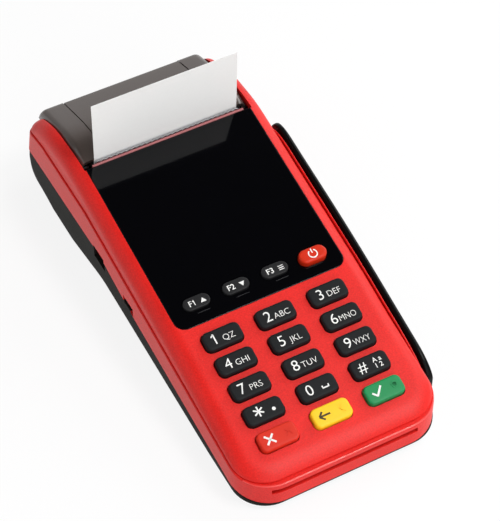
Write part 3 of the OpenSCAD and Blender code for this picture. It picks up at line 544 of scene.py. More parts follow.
def masked_board(name, color, rough):
    """Solder mask with tracks a little brighter and glossier than the ground."""
    f = Finish(name, color, rough)
    edge = f.node("ShaderNodeTexVoronoi", {"feature": "DISTANCE_TO_EDGE"},
                  {"Vector": f.place(), "Scale": 260.0}, out="Distance")
    track = edge < 0.06
    f.shade(Base_Color=f.tint(track, 1.0, 2.2), Roughness=rough - 0.1 * track)
    return f.material


# One finish for each slot of the record: how it is made, then colour, roughness and what that asks for
FINISHES = {
    "red_shell": (moulded, (0.82, 0.015, 0.011), 0.45, 0.55, 0.12, 0.24, 0.5),
    "black_base": (moulded, (0.014, 0.014, 0.012), 0.6, 0.4, 0.05, 0.05),
    "inner_black": (moulded, (0.02, 0.02, 0.02), 0.6, 0.6, 0.05),
    "gloss_black": (polished, (0.003, 0.003, 0.003), 0.25, 0.1),
    "lens_glass": (polished, (0.0008, 0.0008, 0.0014), 0.04, 0.22),
    "display_glass": (polished, (0.03, 0.035, 0.04), 0.2),
    "key_rubber": (moulded, (0.010, 0.011, 0.012), 0.5, 0.5, 0.02, 0.12),
    "key_red": (moulded, (0.62, 0.024, 0.009), 0.45, 0.5, 0.02, 0.2),
    "key_yellow": (moulded, (0.92, 0.55, 0.012), 0.45, 0.5, 0.02, 0.3, 0.05),
    "key_green": (moulded, (0.006, 0.235, 0.070), 0.45, 0.5, 0.02, 0.3),
    "fkey_grey": (moulded, (0.016, 0.016, 0.017), 0.42, 0.5, 0.02, 0.15),
    "power_orange": (moulded, (0.58, 0.024, 0.005), 0.40, 0.5, 0.02, 0.2),
    "circuit_board": (masked_board, (0.010, 0.100, 0.034), 0.38),
    "brass_parts": (metal, (0.70, 0.50, 0.20), 0.3),
    "steel_parts": (metal, (0.55, 0.56, 0.58), 0.32),
    "smoked_cover": (moulded, (0.078, 0.060, 0.053), 0.24, 0.4, 0.02, 0.6),
    "platen_rubber": (moulded, (0.02, 0.02, 0.02), 0.6, 0.4, 0.03),
    "gear_acetal": (moulded, (0.06, 0.06, 0.06), 0.4, 0.6, 0.02),
    "head_ceramic": (polished, (0.18, 0.10, 0.07), 0.2),
    "receipt_paper": (fibrous, (0.84, 0.84, 0.83), 0.7),
    "core_card": (fibrous, (0.42, 0.30, 0.18), 0.85),
    "battery_wrap": (moulded, (0.03, 0.035, 0.05), 0.4, 1.2, 0.03),
}
finishes = {name: make(name, *values) for name, (make, *values) in FINISHES.items()}
ink_white = printed("ink_white", (0.82, 0.82, 0.80), 0.5)
# Dark grey of the lines under the function keys: a painted reflection of the keys' lower edges in the lens
key_edge_painted_reflection = printed("key_edge_painted_reflection", (0.02, 0.02, 0.022), 0.4)
ink_black = printed("ink_black", (0.05, 0.035, 0.01), 0.5)
# Rose of the rim behind the lens: the case's red with a painted reflection of the white paper on it
rim_painted_paper_reflection = polished("rim_painted_paper_reflection", (0.37, 0.125, 0.13), 0.35, 0.3)
bead_red = polished("bead_red", (0.81, 0.030, 0.024), 0.25, 0.9)
slot_of = {part["node"]: part["material_slot"] for part in frame["record"]["subparts"]}
for name, obj in nodes.items():
    obj.data.materials.clear()
    obj.data.materials.append(finishes[slot_of[name]])


def dressed(obj, body, slot, replaces=(), material=None):
    """Gives a piece its finish, the body it rides on and the nodes it stands for."""
    obj.data.materials.clear()
    obj.data.materials.append(material or finishes[slot])
    if replaces:
        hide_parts(*replaces)
    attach(obj, body)
    return obj


# Case shells

# Forms seen from above: half width, front line and front corner radius
TOP_FORM = (CASE_HW - SIDE_LIP, FRONT_LIP, 12.4)
MIDDLE_FORM = (CASE_HW, 0.0, 14.4)
BASE_FORM = (CASE_HW - BASE_IN, BASE_IN, 12.8)


def lining(form):
    """The form of a shell's inner skin, one wall further in."""
    half_w, y_front, r_front = form
    return (half_w - WALL, y_front + WALL, r_front - WALL)


# Round edge of the top case, share of a low wall that it may take, and the break at the groove
TOP_EDGE, EDGE_SHARE, TOP_BREAK = 6.0, 0.9, 0.35


def over_edge(count):
    """Angles from a wall, over its rounded edge, to the face."""
    return np.radians(np.linspace(0, 90, count))


def top_rings(form, lower, flat_insets):
    """Rings of the top case from its rim at the groove, up the wall, over a rounded edge whose height
    is what the wall leaves free, and in over the face; lower drops the whole for the inner skin."""
    def free(y):
        """Height of the rounded edge."""
        return np.minimum(TOP_EDGE, EDGE_SHARE * (face_z(y) - lower - groove_z(y)))

    def wall_z(y, t):
        """Height of the wall, from its foot to the rounded edge as t goes from 0 to 1."""
        foot = groove_z(y) + TOP_BREAK
        return foot + t * np.maximum(face_z(y) - lower - free(y) - foot, HAIR)

    rings = [wrapped_ring(form, groove_z, TOP_BREAK)]
    for t in (0.0, 0.5, 1.0):
        rings.append(wrapped_ring(form, lambda y, t=t: wall_z(y, t)))
    for a in over_edge(14)[1:]:
        rings.append(wrapped_ring(form, lambda y, a=a: face_z(y) - lower - free(y) * (1 - math.sin(a)),
                                  TOP_EDGE * (1 - math.cos(a))))
    for inset in flat_insets:
        rings.append(wrapped_ring(form, lambda y: face_z(y) - lower, inset))
    return rings


def key_place(col, row):
    """Middle of a keypad key on its slope: columns across X, rows down from the crease."""
    return (col * PITCH_X, -ROW_1 - row * PITCH_Y)


# Keypad keys with their column, counted from the middle, and their row
KEY_NAMES = "1 2 3 4 5 6 7 8 9 star 0 hash cancel clear enter".split()
KEY_GRID = [("key_" + name, i % 3 - 1, i // 3) for i, name in enumerate(KEY_NAMES)]
# Keys in the lens: middle, width, height, stand above the lens, edge radius
FKEY_SHIFT = 0.6
FKEY_ROW = [(name, (k * FKEY_PITCH + FKEY_SHIFT, FKEY_Y + FKEY_SHIFT), 10.1, 4.9, 0.8, 0.35)
            for name, k in (("key_f1", -1.5), ("key_f2", -0.5), ("key_f3", 0.5))]
FKEY_ROW.append(("key_power", (1.5 * FKEY_PITCH, FKEY_Y), 10.6, 5.6, 2.4, 0.9))

# Distances from the wall to the rings of a flat, the last one near the case's middle
TOP_FLAT = (6.2, 9, 14, 22, 30, 37.4)
TOP_FLAT_INSIDE = (*TOP_FLAT[:-1], TOP_FLAT[-1] - WALL)
# Cutters end well clear of the case behind it, above it and below the lens
BEHIND, ABOVE, CLEAR = 200, 90, 20
top_skin = top_rings(TOP_FORM, 0.0, TOP_FLAT)
top_lining = top_rings(lining(TOP_FORM), WALL, TOP_FLAT_INSIDE)
# Lens pocket, the opening through its floor and the key holes: width, height, front and rear corners
POCKET = (LENS_W + 0.2, LENS_LEN - LENS_RIM + 0.2, LENS_R + 0.1, 0.4)
OPENING = (LENS_W - 5.4, LENS_LEN - 6.2, 2.0, 2.0)
KEY_HOLE = (KEY_W + 2 * GAP, KEY_H + 2 * GAP, KEY_R + GAP, KEY_R + GAP)
cuts = [prism(POCKET, -LENS_T, CLEAR, LENS_TILT, (0, LENS_MID)),
        prism(OPENING, -CLEAR, -LENS_T + 1, LENS_TILT, (0, LENS_MID)),
        block((-CHEEK_IN, EXIT_Y - LENS_RIM, 5), (CHEEK_IN, BEHIND, ABOVE)),
        joined("cutter", [prism(KEY_HOLE, -6, 8, KEYPAD_TILT, key_place(c, r)) for _, c, r in KEY_GRID])]
dressed(carved(stacked("top_shell", top_lining[::-1] + top_skin), cuts), "case", "red_shell", ("top_case",))


def mouth(node, x0, x1, room):
    """A cutter for the mouth of a node in a side wall, with room round it."""
    low, high = corners(node)
    return block((x0, low[1] - room, low[2] - room), (x1, high[1] + room, high[2] + room))


def port_mouths():
    """Cutters for the mouths of both ports in the left wall."""
    reach, room = 6.0, 0.2
    return [mouth(node, -CASE_HW - reach, reach - CASE_HW, room) for node in ("usb_socket", "power_jack")]


# Middle case: straight foot above its lower rim, rounded lip at the groove
BELT_FOOT, BELT_LIP = 0.4, 0.6
CARD_SLOT = ((-29.5, -5, 8.7), (26.1, 8, 10.8))
COVER_BAY = ((-CHEEK_IN, ROLL_Y, HINGE_Z - 4.7), (CHEEK_IN, BEHIND, ABOVE))


def belt_rings():
    """Closed profile of the middle case carried round the case: outer wall, rounded lip at the groove,
    ledge, inner wall and lower rim."""
    rings = [wrapped_ring(MIDDLE_FORM, lambda y, up=up: seam_z(y) + up, inset)
             for inset, up in ((0.35, 0.0), (0.1, 0.12), (0.0, BELT_FOOT))]

    def wall_z(y, t):
        """Height of the wall, from its foot to the lip as t goes from 0 to 1."""
        foot = seam_z(y) + BELT_FOOT
        return foot + t * (groove_z(y) - BELT_LIP - foot)

    for t in (0.35, 0.7, 1.0):
        rings.append(wrapped_ring(MIDDLE_FORM, lambda y, t=t: wall_z(y, t)))
    for a in over_edge(7)[1:]:
        rings.append(wrapped_ring(MIDDLE_FORM, lambda y, a=a: groove_z(y) - BELT_LIP * (1 - math.sin(a)),
                                  BELT_LIP * (1 - math.cos(a))))
    rings.append(wrapped_ring(MIDDLE_FORM, lambda y: groove_z(y) - HAIR, WALL + SIDE_LIP))
    rings.append(wrapped_ring(MIDDLE_FORM, seam_z, WALL + SIDE_LIP))
    return np.stack(rings)


rings = belt_rings()
belt = make_mesh("middle_shell", rings, grid_faces(*rings.shape[:2], True, True))
cuts = [block(*CARD_SLOT), block(*COVER_BAY), mouth("mag_head", CASE_HW - 4, CASE_HW + 6, GAP),
        *port_mouths()]
dressed(carved(belt, cuts), "case", "red_shell", ("middle_case",))


# Round edge under the base: at the sides, at the front and at the rear, and how it grows in height there
EDGE_SIDE, EDGE_FRONT, EDGE_REAR = 1.8, 2.4, 8.0
EDGE_GROWTH, GROWTH_Y, GROWTH_LEN = 7.0, 156.0, 20.0
BASE_BREAK = 0.3
# Rings of the underside: how far in at the sides, and how much further at the front and at the rear
FLAT_FRONT, FLAT_REAR = 0.6, 6.0
BASE_FLAT = (2, 8, 15, 24, 37.4)
BASE_FLAT_INSIDE = (*BASE_FLAT[:-1], BASE_FLAT[-1] - WALL)


def base_rings(form, lift, flat_insets):
    """Rings of the base from its rim at the red and black line, down the wall, under a rounded edge that
    is fuller at the front and fullest at the rear, and in under the belly; lift raises the inner skin."""
    inset = CASE_HW - BASE_IN - form[0]

    def edge(y):
        """Height of the rounded edge."""
        full = EDGE_SIDE + EDGE_GROWTH * np.clip((y - GROWTH_Y) / GROWTH_LEN, 0, 1)
        return np.minimum(full, EDGE_SHARE * (seam_z(y) - belly_z(y) - lift))

    def wall_z(y, t):
        """Height of the wall, from its rim down to the rounded edge as t goes from 0 to 1."""
        rim = seam_z(y) - BASE_BREAK
        return rim - t * np.maximum(rim - belly_z(y) - lift - edge(y), HAIR / 2)

    rings = [wrapped_ring(form, seam_z, BASE_BREAK, rear=inset + BASE_BREAK)]
    for t in (0.0, 0.3, 0.65, 1.0):
        rings.append(wrapped_ring(form, lambda y, t=t: wall_z(y, t), rear=inset))
    for a in over_edge(9)[1:]:
        turn = 1 - math.cos(a)
        rings.append(wrapped_ring(form, lambda y, a=a: belly_z(y) + lift + edge(y) * (1 - math.sin(a)),
                                  EDGE_SIDE * turn, EDGE_FRONT * turn, inset + EDGE_REAR * turn))
    for d in flat_insets:
        rings.append(wrapped_ring(form, lambda y: belly_z(y) + lift,
                                  d, d + FLAT_FRONT, inset + d + FLAT_REAR))
    return rings


bowl = stacked("base_bowl", base_rings(lining(BASE_FORM), WALL, BASE_FLAT_INSIDE)[::-1]
               + base_rings(BASE_FORM, 0.0, BASE_FLAT))
# Battery door on the sloped belly: half width, front and rear edge
DOOR_HW, DOOR_Y0, DOOR_Y1 = 25, 28.13, 74.13
# Screws: middle and height of the underside there; feet: middle
REAR_ROW = HINGE_Y - 9.6
SCREWS = [(s * x, y, z) for s in (-1, 1)
          for x, y, z in ((CASE_HW - 7.1, CREASE_Y - 2.87, 2.33), (CASE_HW - 4.8, REAR_ROW, FLOOR_Z))]
SCREW_R, SCREW_DEEP = 2.8, 3.2
FEET = [(s * 24, y) for s in (-1, 1) for y in (19, REAR_ROW)]
FOOT_R, FOOT_TOP = 4.6, 1.2
BELOW = -3
cuts = [belly_block(DOOR_HW, DOOR_Y0, DOOR_Y1, BELOW, -BELOW),
        joined("cutter", [post(x, y, SCREW_R, BELOW, z + SCREW_DEEP) for x, y, z in SCREWS]),
        joined("cutter", [post(x, y, FOOT_R, BELOW, FOOT_TOP) for x, y in FEET]), *port_mouths()]
dressed(carved(bowl, cuts), "case", "black_base", ("base_shell",))


# Swipe rail

RAIL_Y0, RAIL_Y1 = 17.0, EXIT_Y - 3.6
# Its top line under the face, the swell of its middle, the length of its round ends
RAIL_DROP, RAIL_SWELL, RAIL_END = 4.9, 1.6, 11.0
# Heights under the top line of the slot's floor and of the foot, the foot's break, the top's rounding
RAIL_FLOOR, RAIL_FOOT, RAIL_BREAK, RAIL_ROUND = -9.0, -11.2, (0.4, 0.6), 1.05
RAIL_SLOT_W, END_SHARE = 1.7, 0.35


def carried(y, x, z):
    """Points of a profile carried along Y: x of the profile, and a height for each y and x."""
    return np.stack([np.broadcast_to(x, z.shape), np.broadcast_to(y[:, None], z.shape), z], axis=-1)


def rail_top(y):
    """Top line of the swipe rail: straight, a set distance under the face at both its ends."""
    z0, z1 = (face_z(np.array(v)) - RAIL_DROP for v in (RAIL_Y0, RAIL_Y1))
    return z0 + (y - RAIL_Y0) * (z1 - z0) / (RAIL_Y1 - RAIL_Y0)


def rail_points():
    """Hook-shaped profile, floor and outer wall with a rounded top, carried along the rail; towards both
    ends the wall sinks on a quarter ellipse, and between them its top swells on a sine."""
    end = 1 - np.cos(np.linspace(0, math.pi / 2, 14))
    middle = np.linspace(RAIL_Y0 + RAIL_END, RAIL_Y1 - RAIL_END, 40)[1:-1]
    y = np.concatenate([RAIL_Y0 + RAIL_END * end, middle, (RAIL_Y1 - RAIL_END * end)[::-1]])
    edge = np.clip(np.minimum(y - RAIL_Y0, RAIL_Y1 - y) / RAIL_END, 0, 1)
    swell = RAIL_SWELL * np.sin(math.pi * (y - RAIL_Y0) / (RAIL_Y1 - RAIL_Y0)) ** 2
    tall = END_SHARE + (1 - END_SHARE) * np.sqrt(1 - (1 - edge) ** 2) - swell / RAIL_FLOOR
    a = np.radians(np.linspace(0, 180, 13))
    out, slot = CASE_HW + RAIL_OUT, CASE_HW + RAIL_SLOT_W
    half = (out - slot) / 2
    x = np.concatenate([[out - RAIL_BREAK[0], out], slot + half + half * np.cos(a), [slot],
                        [CASE_HW + HAIR] * 2])
    z = np.concatenate([[RAIL_FOOT, RAIL_FOOT + RAIL_BREAK[1]], RAIL_ROUND * (np.sin(a) - 1),
                        [RAIL_FLOOR, RAIL_FLOOR, RAIL_FOOT]])
    wall = RAIL_FLOOR + (z - RAIL_FLOOR)[None, :] * tall[:, None]
    return carried(y, x, np.where(z > RAIL_FLOOR, wall, z[None, :]) + rail_top(y)[:, None])


dressed(swept("rail_wall", rail_points(), 40), "case", "gloss_black", ("swipe_rail",))

# Lip beside the rail: length of its falling ends, its foot under the groove, its top under the face
LIP_END, LIP_FOOT, LIP_DROP = 16.0, 0.6, 3.0


def lip_points():
    """A thin upright lip between the top case and the card slot, carried along the rail: its top runs a
    set distance under the face and sinks to the groove at both ends on a quarter ellipse."""
    y = np.linspace(RAIL_Y0 + 2, RAIL_Y1 - 1, 90)
    edge = np.clip(np.minimum(y - y[0], y[-1] - y) / LIP_END, 0, 1)
    low = groove_z(y) - LIP_FOOT
    top = low + (face_z(y) - LIP_DROP - low) * np.sqrt(1 - (1 - edge) ** 2)
    x = CASE_HW + np.array([-0.5, -0.5, -0.3, -0.15, HAIR, HAIR])
    drop = np.array([np.inf, 0.2, 0.0, 0.0, 0.2, np.inf])
    return carried(y, x, np.maximum(top[:, None] - drop, low[:, None]))


dressed(swept("rail_lip", lip_points(), capped=False), "case", "red_shell")

# Bead in the groove: its radius, how far its middle is set in and under the groove, and where it ends
BEAD_R, BEAD_IN, BEAD_DOWN, BEAD_Y = 0.4, 0.42, 0.25, 8.0


def bead_points():
    """A glossy bead along the front of the groove: a circle carried along the middle case's outline."""
    x, y = outline(CASE_HW - BEAD_IN, BEAD_IN, CASE_LEN, MIDDLE_FORM[2] - BEAD_IN, REAR_R)
    front = np.flatnonzero(y < BEAD_Y)
    i = np.concatenate([front[front > len(x) // 2], front[front < len(x) // 2]])
    line = np.stack([x[i], y[i]], axis=-1)
    step = np.gradient(line, axis=0)
    across = np.stack([step[:, 1], -step[:, 0]], axis=-1) / np.linalg.norm(step, axis=1, keepdims=True)
    a = np.radians(np.arange(0, 360, 30))
    at = line[:, None, :] + across[:, None, :] * BEAD_R * np.cos(a)[None, :, None]
    z = groove_z(y[i])[:, None] - BEAD_DOWN + BEAD_R * np.sin(a)
    return np.concatenate([at, z[:, :, None]], axis=-1)


dressed(swept("groove_bead", bead_points(), 50), "case", "red_shell", material=bead_red)


# Lens and keys

def rounded_steps(height, edge, count=6):
    """Steps of a plate's upper edge: quarter round of the given radius, ending on the face."""
    return [(edge * (1 - math.cos(t)), height - edge * (1 - math.sin(t))) for t in over_edge(count)]


LENS_FORM = (LENS_W, LENS_LEN - LENS_RIM, LENS_R, 0.3)
LENS_EDGE, LENS_BREAK = 0.2, 0.15
inner = LENS_W / 2 - 0.3
steps = [(inner, -LENS_T), (LENS_BREAK, -LENS_T), (0, LENS_BREAK - LENS_T), *rounded_steps(0, LENS_EDGE),
         (0.6, 0.0), (inner, 0.0)]
lens = stacked("lens_plate", plate_rings(LENS_FORM, steps, LENS_TILT, (0, LENS_MID), 13))
holes = joined("cutter", [prism((w + 2 * GAP, h + 2 * GAP, h, h), -5, 5, LENS_TILT, at, 13)
                          for _, at, w, h, _, _ in FKEY_ROW])
dressed(carved(lens, [holes], 30), "case", "lens_glass", ("display_lens",))
# Rim behind the lens, at the foot of the paper, its red turned rose by a painted reflection of the white
# paper: edge radius and stand above the lens
RIM_EDGE, RIM_RISE = 0.15, 0.3
RIM_FORM = (LENS_W - 5.4, LENS_RIM - 0.1, RIM_EDGE, RIM_EDGE)
inner = LENS_RIM / 2 - 0.1
steps = [(inner, -LENS_T), (0, -LENS_T), *rounded_steps(RIM_RISE, RIM_EDGE), (inner, RIM_RISE)]
rim_middle = (0, LENS_Y0 + LENS_LEN - LENS_RIM / 2)
rim = stacked("exit_rim", plate_rings(RIM_FORM, steps, LENS_TILT, rim_middle))
dressed(rim, "case", "red_shell", material=rim_painted_paper_reflection)

# Hidden flange of a key: its thickness, and how far it stands out
FLANGE_T, FLANGE_OUT = 0.9, 0.8


def key_cap(name, size, proud, seat, edge, tilt, centre, slot):
    """A key: hidden flange, straight wall, quarter-round edge, and a top that is crowned by a hair."""
    half = min(size[:2]) / 2 - 0.25
    top = seat - GAP
    foot = top - FLANGE_T
    steps = [(half, foot), (-FLANGE_OUT, foot), (-FLANGE_OUT, top), (0.0, top)]
    steps += [(i, z - KEY_CROWN) for i, z in rounded_steps(proud, edge, 9)]
    steps += [(edge + (half - edge) * t, proud - KEY_CROWN * (1 - t) ** 2) for t in (0.15, 0.4, 1.0)]
    obj = stacked("cap_" + name, plate_rings(size, steps, tilt, centre), 50)
    dressed(obj, name, slot, (name,))


SLOTS = {"key_cancel": "key_red", "key_clear": "key_yellow", "key_enter": "key_green",
         "key_power": "power_orange", "key_f1": "fkey_grey", "key_f2": "fkey_grey", "key_f3": "fkey_grey"}
KEY_FORM = (KEY_W, KEY_H, KEY_R, KEY_R)
for name, col, row in KEY_GRID:
    key_cap(name, KEY_FORM, KEY_PROUD, -WALL, KEY_EDGE, KEYPAD_TILT, key_place(col, row),
            SLOTS.get(name, "key_rubber"))
for name, at, w, h, proud, edge in FKEY_ROW:
    key_cap(name, (w, h, h, h), proud, -LENS_T, edge, LENS_TILT, at, SLOTS[name])


# Marks on the keys

# Height of a capital in the font's own units, and how far marks stand on a key and sink into it
CAPITAL = 0.695
INK_RISE, FELT_RISE, MARK_SINK = 0.02, 0.22, 0.15


def glyphs(text, height, centre, bold=0.01, widest=99.0):
    """Letters as thin closed plates, thickened by bold and squeezed to a widest width: points (x, y, 0
    or 1 for lower or upper side) and faces."""
    curve = bpy.data.curves.new("glyphs", "FONT")
    curve.body = text
    curve.extrude = 0.05
    curve.offset = bold
    curve.resolution_u = 4
    obj = added("glyphs", curve)
    mesh = baked(obj)
    co = np.zeros(len(mesh.vertices) * 3)
    mesh.vertices.foreach_get("co", co)
    co = co.reshape(-1, 3)
    faces = [list(f.vertices) for f in mesh.polygons]
    bpy.data.objects.remove(obj)
    bpy.data.meshes.remove(mesh)
    middle = np.array([(co[:, 0].min() + co[:, 0].max()) / 2, CAPITAL / 2])
    size = np.array([min(1.0, widest * CAPITAL / height / np.ptp(co[:, 0])), 1.0]) * height / CAPITAL
    return np.column_stack([(co[:, :2] - middle) * size + np.array(centre), co[:, 2] > 0]), faces


def plate_shape(loop):
    """A flat closed outline as a thin plate: points with lower and upper side, and faces."""
    loop = np.asarray(loop, float)
    n = len(loop)
    points = np.concatenate([np.column_stack([loop, np.full(n, side)]) for side in (0, 1)])
    i = np.arange(n)
    sides = np.stack([i, np.roll(i, -1), np.roll(i, -1) + n, i + n], axis=-1).tolist()
    return points, [list(range(n))[::-1], list(range(n, 2 * n)), *sides]


def bar(a, b, width):
    """A straight stroke between two points."""
    a, b = np.array(a, float), np.array(b, float)
    d = (b - a) / np.linalg.norm(b - a)
    side = np.array([-d[1], d[0]]) * width / 2
    return plate_shape([a - side, b - side, b + side, a + side])


def arc_stroke(centre, r, width, a0=0.0, a1=360.0, count=40):
    """A stroke along an arc."""
    a = np.radians(np.linspace(a0, a1, count))
    d = np.stack([np.cos(a), np.sin(a)], axis=-1)
    return plate_shape(np.concatenate([np.array(centre) + d * (r + width / 2),
                                       np.array(centre) + d[::-1] * (r - width / 2)]))


def dot(centre, r):
    """A filled circle."""
    a = np.radians(np.arange(0, 360, 15))
    return plate_shape(np.array(centre) + r * np.stack([np.cos(a), np.sin(a)], axis=-1))


def mark(name, body, shapes, proud, tilt, centre, material=None, rise=INK_RISE):
    """Flat shapes as one piece on the top of a key or of the lens: a little proud of it, and sunk into
    it below."""
    points = np.concatenate([p for p, _ in shapes])
    starts = np.cumsum([0] + [len(p) for p, _ in shapes])
    faces = [[start + i for i in face] for start, (_, f) in zip(starts, shapes) for face in f]
    z = proud + np.where(points[:, 2] > 0.5, rise, -MARK_SINK)
    place = np.column_stack([points[:, 0] + centre[0], points[:, 1] + centre[1], z])
    obj = make_mesh(name, on_slope(place, tilt), faces, 20)
    slot = "lens_glass" if body == "case" else SLOTS.get(body, "key_rubber")
    dressed(obj, body, slot, material=material)


# Sizes, places and weights of the digits and letters, then the stroke widths of the signs
DIGIT_H, DIGIT_AT, DIGIT_BOLD = 3.9, (-3.1, 0.1), -0.004
LETTER_H, LETTER_AT, LETTER_BOLD, LETTER_W = 2.2, (1.9, -0.65), -0.012, 6.4
THICK, THIN = 0.7, 0.45
STAR_AT, STAR_R = np.array([-1.9, 0.4]), 1.9


def digit(text, centre=DIGIT_AT):
    """The large character on the left of a key."""
    return glyphs(text, DIGIT_H, centre, DIGIT_BOLD)


def strokes(width, *lines):
    """Straight strokes of one width, each from one point to another."""
    return [bar(a, b, width) for a, b in lines]


LETTERS = "QZ ABC DEF GHI JKL MNO PRS TUV WXY".split()
shapes = {"key_" + name: [digit(name), glyphs(letters, LETTER_H, LETTER_AT, LETTER_BOLD, LETTER_W)]
          for name, letters in zip(KEY_NAMES, LETTERS)}
shapes["key_1"] += strokes(THIN, ((-4.1, 1.0), (-3.0, 1.85)))
rays = [STAR_R * np.array([math.sin(t), math.cos(t)]) for t in np.radians([0, 60, 120])]
shapes.update({
    "key_star": [*strokes(0.55, *[(STAR_AT + ray, STAR_AT - ray) for ray in rays]), dot((3.3, -0.7), 0.64)],
    "key_0": [digit("0"), *strokes(0.5, ((1.3, -1.1), (4.0, -1.1))),
              *strokes(THIN, ((1.52, -1.3), (1.52, -0.2)), ((3.78, -1.3), (3.78, -0.2)))],
    "key_hash": [digit("#", (-3.0, 0.1)), glyphs("A a", 1.7, (2.9, 0.9)), glyphs("1 2", 1.7, (2.9, -1.3))],
    "key_cancel": strokes(THICK, ((-4.6, -1.6), (-1.4, 1.6)), ((-4.6, 1.6), (-1.4, -1.6))),
    "key_clear": strokes(THICK, ((-4.2, 0), (-0.6, 0)), ((-4.7, 0), (-3.1, 1.5)), ((-4.7, 0), (-3.1, -1.5))),
    "key_enter": strokes(THICK, ((-4.7, 0.2), (-3.2, -1.4)), ((-3.4, -1.5), (-0.7, 1.7))),
})
# Raised marks to be felt, beside the printed ones
felt = {"key_cancel": strokes(0.5, ((3.0, -1.1), (5.2, 1.1)), ((3.0, 1.1), (5.2, -1.1))),
        "key_clear": strokes(0.5, ((3.2, 0), (4.8, 1.3)), ((3.2, 0), (4.8, -1.3))),
        "key_enter": [arc_stroke((4.0, 0.2), 1.0, 0.5)]}
for name, col, row in KEY_GRID:
    at = (KEY_PROUD, KEYPAD_TILT, key_place(col, row))
    mark("mark_" + name, name, shapes[name], *at, ink_black if name == "key_clear" else ink_white)
    if name in felt:
        mark("felt_" + name, name, felt[name], *at, rise=FELT_RISE)


def fkey_name(text):
    """The name on the left of a function key."""
    return glyphs(text, 2.1, (-1.8, 0.0))


signs = {"key_f1": [fkey_name("F1"), *strokes(0.28, ((-1.35, 0.5), (-0.85, 0.95))),
                    plate_shape([(1.3, -1.0), (3.5, -1.0), (2.4, 0.7)])],
         "key_f2": [fkey_name("F2"), plate_shape([(1.3, 0.6), (2.4, -1.1), (3.5, 0.6)])],
         "key_f3": [fkey_name("F3"), *strokes(0.32, *[((1.4, y), (3.4, y)) for y in (-0.95, -0.2, 0.55)])],
         "key_power": [arc_stroke((0, -0.1), 1.55, THIN, 122, 418), *strokes(THIN, ((0, 0.2), (0, 2.0)))]}
# Painted reflection of each function key's lower edge: a faint dark line on the lens under the key
under = [((x - 1.4, y - 3.9), (x + 3.4, y - 3.9)) for _, (x, y), *_ in FKEY_ROW[:3]]
mark("lens_painted_key_reflections", "case", strokes(0.22, *under), 0.0, LENS_TILT, (0, 0), key_edge_painted_reflection)
for name, at, _, _, proud, _ in FKEY_ROW:
    mark("mark_" + name, name, signs[name], proud, LENS_TILT, at, ink_white)


# Printer cover and paper

def smooth_line(points, count, passes=2):
    """A polyline with its corners cut again and again (Chaikin), then spaced evenly along its length."""
    p = np.asarray(points, float)
    for _ in range(passes):
        q = np.empty((2 * len(p), p.shape[1]))
        q[0], q[-1] = p[0], p[-1]
        q[1:-1:2] = 0.75 * p[:-1] + 0.25 * p[1:]
        q[2:-1:2] = 0.25 * p[:-1] + 0.75 * p[1:]
        p = q
    d = np.concatenate([[0], np.cumsum(np.linalg.norm(np.diff(p, axis=0), axis=1))])
    return np.stack([np.interp(np.linspace(0, d[-1], count), d, p[:, k]) for k in range(p.shape[1])], axis=-1)


# Cover: its front line, thickness, the rounding of its sides and of its tail about the hinge
COVER_Y0, COVER_SKIN, COVER_EDGE, TAIL_R = EXIT_Y + 3.3, 1.8, 3.0, 4.4
turn = np.radians(np.linspace(65, -25, 10))
COVER_LINE = smooth_line(np.concatenate([
    [[COVER_Y0, EXIT_Z - 0.9], [COVER_Y0 + 5, EXIT_Z + 0.6], [COVER_Y0 + 10, EXIT_Z + 1.1],
     [HINGE_Y - 18, EXIT_Z + 0.1], [HINGE_Y - 10, EXIT_Z - 2.4]],
    np.stack([HINGE_Y + TAIL_R * np.cos(turn), HINGE_Z + TAIL_R * np.sin(turn)], axis=-1)]), 90, 3)


def cover_surface(half_x, drop, sink, line):
    """The cover's side profile carried across X: at each x it is set in along its own normal by sink, and
    lowered by drop. half_x runs from the right edge to the middle, and the left half is its mirror image."""
    step = np.gradient(line, axis=0)
    normal = np.stack([step[:, 1], -step[:, 0]], axis=-1)
    normal /= np.linalg.norm(normal, axis=1, keepdims=True)
    x, drop, sink = (np.concatenate([v, s * v[-2::-1]]) for v, s in ((half_x, -1), (drop, 1), (sink, 1)))
    y = line[:, :1] + normal[:, :1] * sink
    z = np.maximum(line[:, 1:] + normal[:, 1:] * sink - drop, HINGE_Z - 1)
    return np.stack([np.broadcast_to(x, z.shape), y, z], axis=-1)


# The centre panel lies in a pit of the cover; the pit's wall is a step between two close columns
PIT_DEEP, PIT_HW, PIT_STEP = 1.0, WINDOW_HW + 0.25, 0.01
SIDE_WALL, SIDE_DEEP = 1.4, 30.0
a = over_edge(9)[1:]
side_x = np.concatenate([[0.0, 0.0], COVER_EDGE * (1 - np.cos(a))])
side_drop = np.concatenate([[SIDE_DEEP, COVER_EDGE], COVER_EDGE * (1 - np.sin(a))])
across = np.array([28.0, PIT_HW, PIT_HW - PIT_STEP, WINDOW_HW - 0.01, 15, 7, 0])
half_x = np.concatenate([COVER_HW - side_x, across])
drop = np.concatenate([side_drop, np.zeros(len(across))])
pit = np.where(half_x < PIT_HW - PIT_STEP / 2, PIT_DEEP, 0.0)
cover_top = cover_surface(half_x, drop, pit, COVER_LINE)
inner_x, skin = np.minimum(half_x, COVER_HW - SIDE_WALL), np.full_like(half_x, COVER_SKIN)
cover_under = cover_surface(inner_x, drop, skin, COVER_LINE)
dressed(slab("cover_skin", cover_top, cover_under, 40), "cover", "smoked_cover", ("printer_cover",))
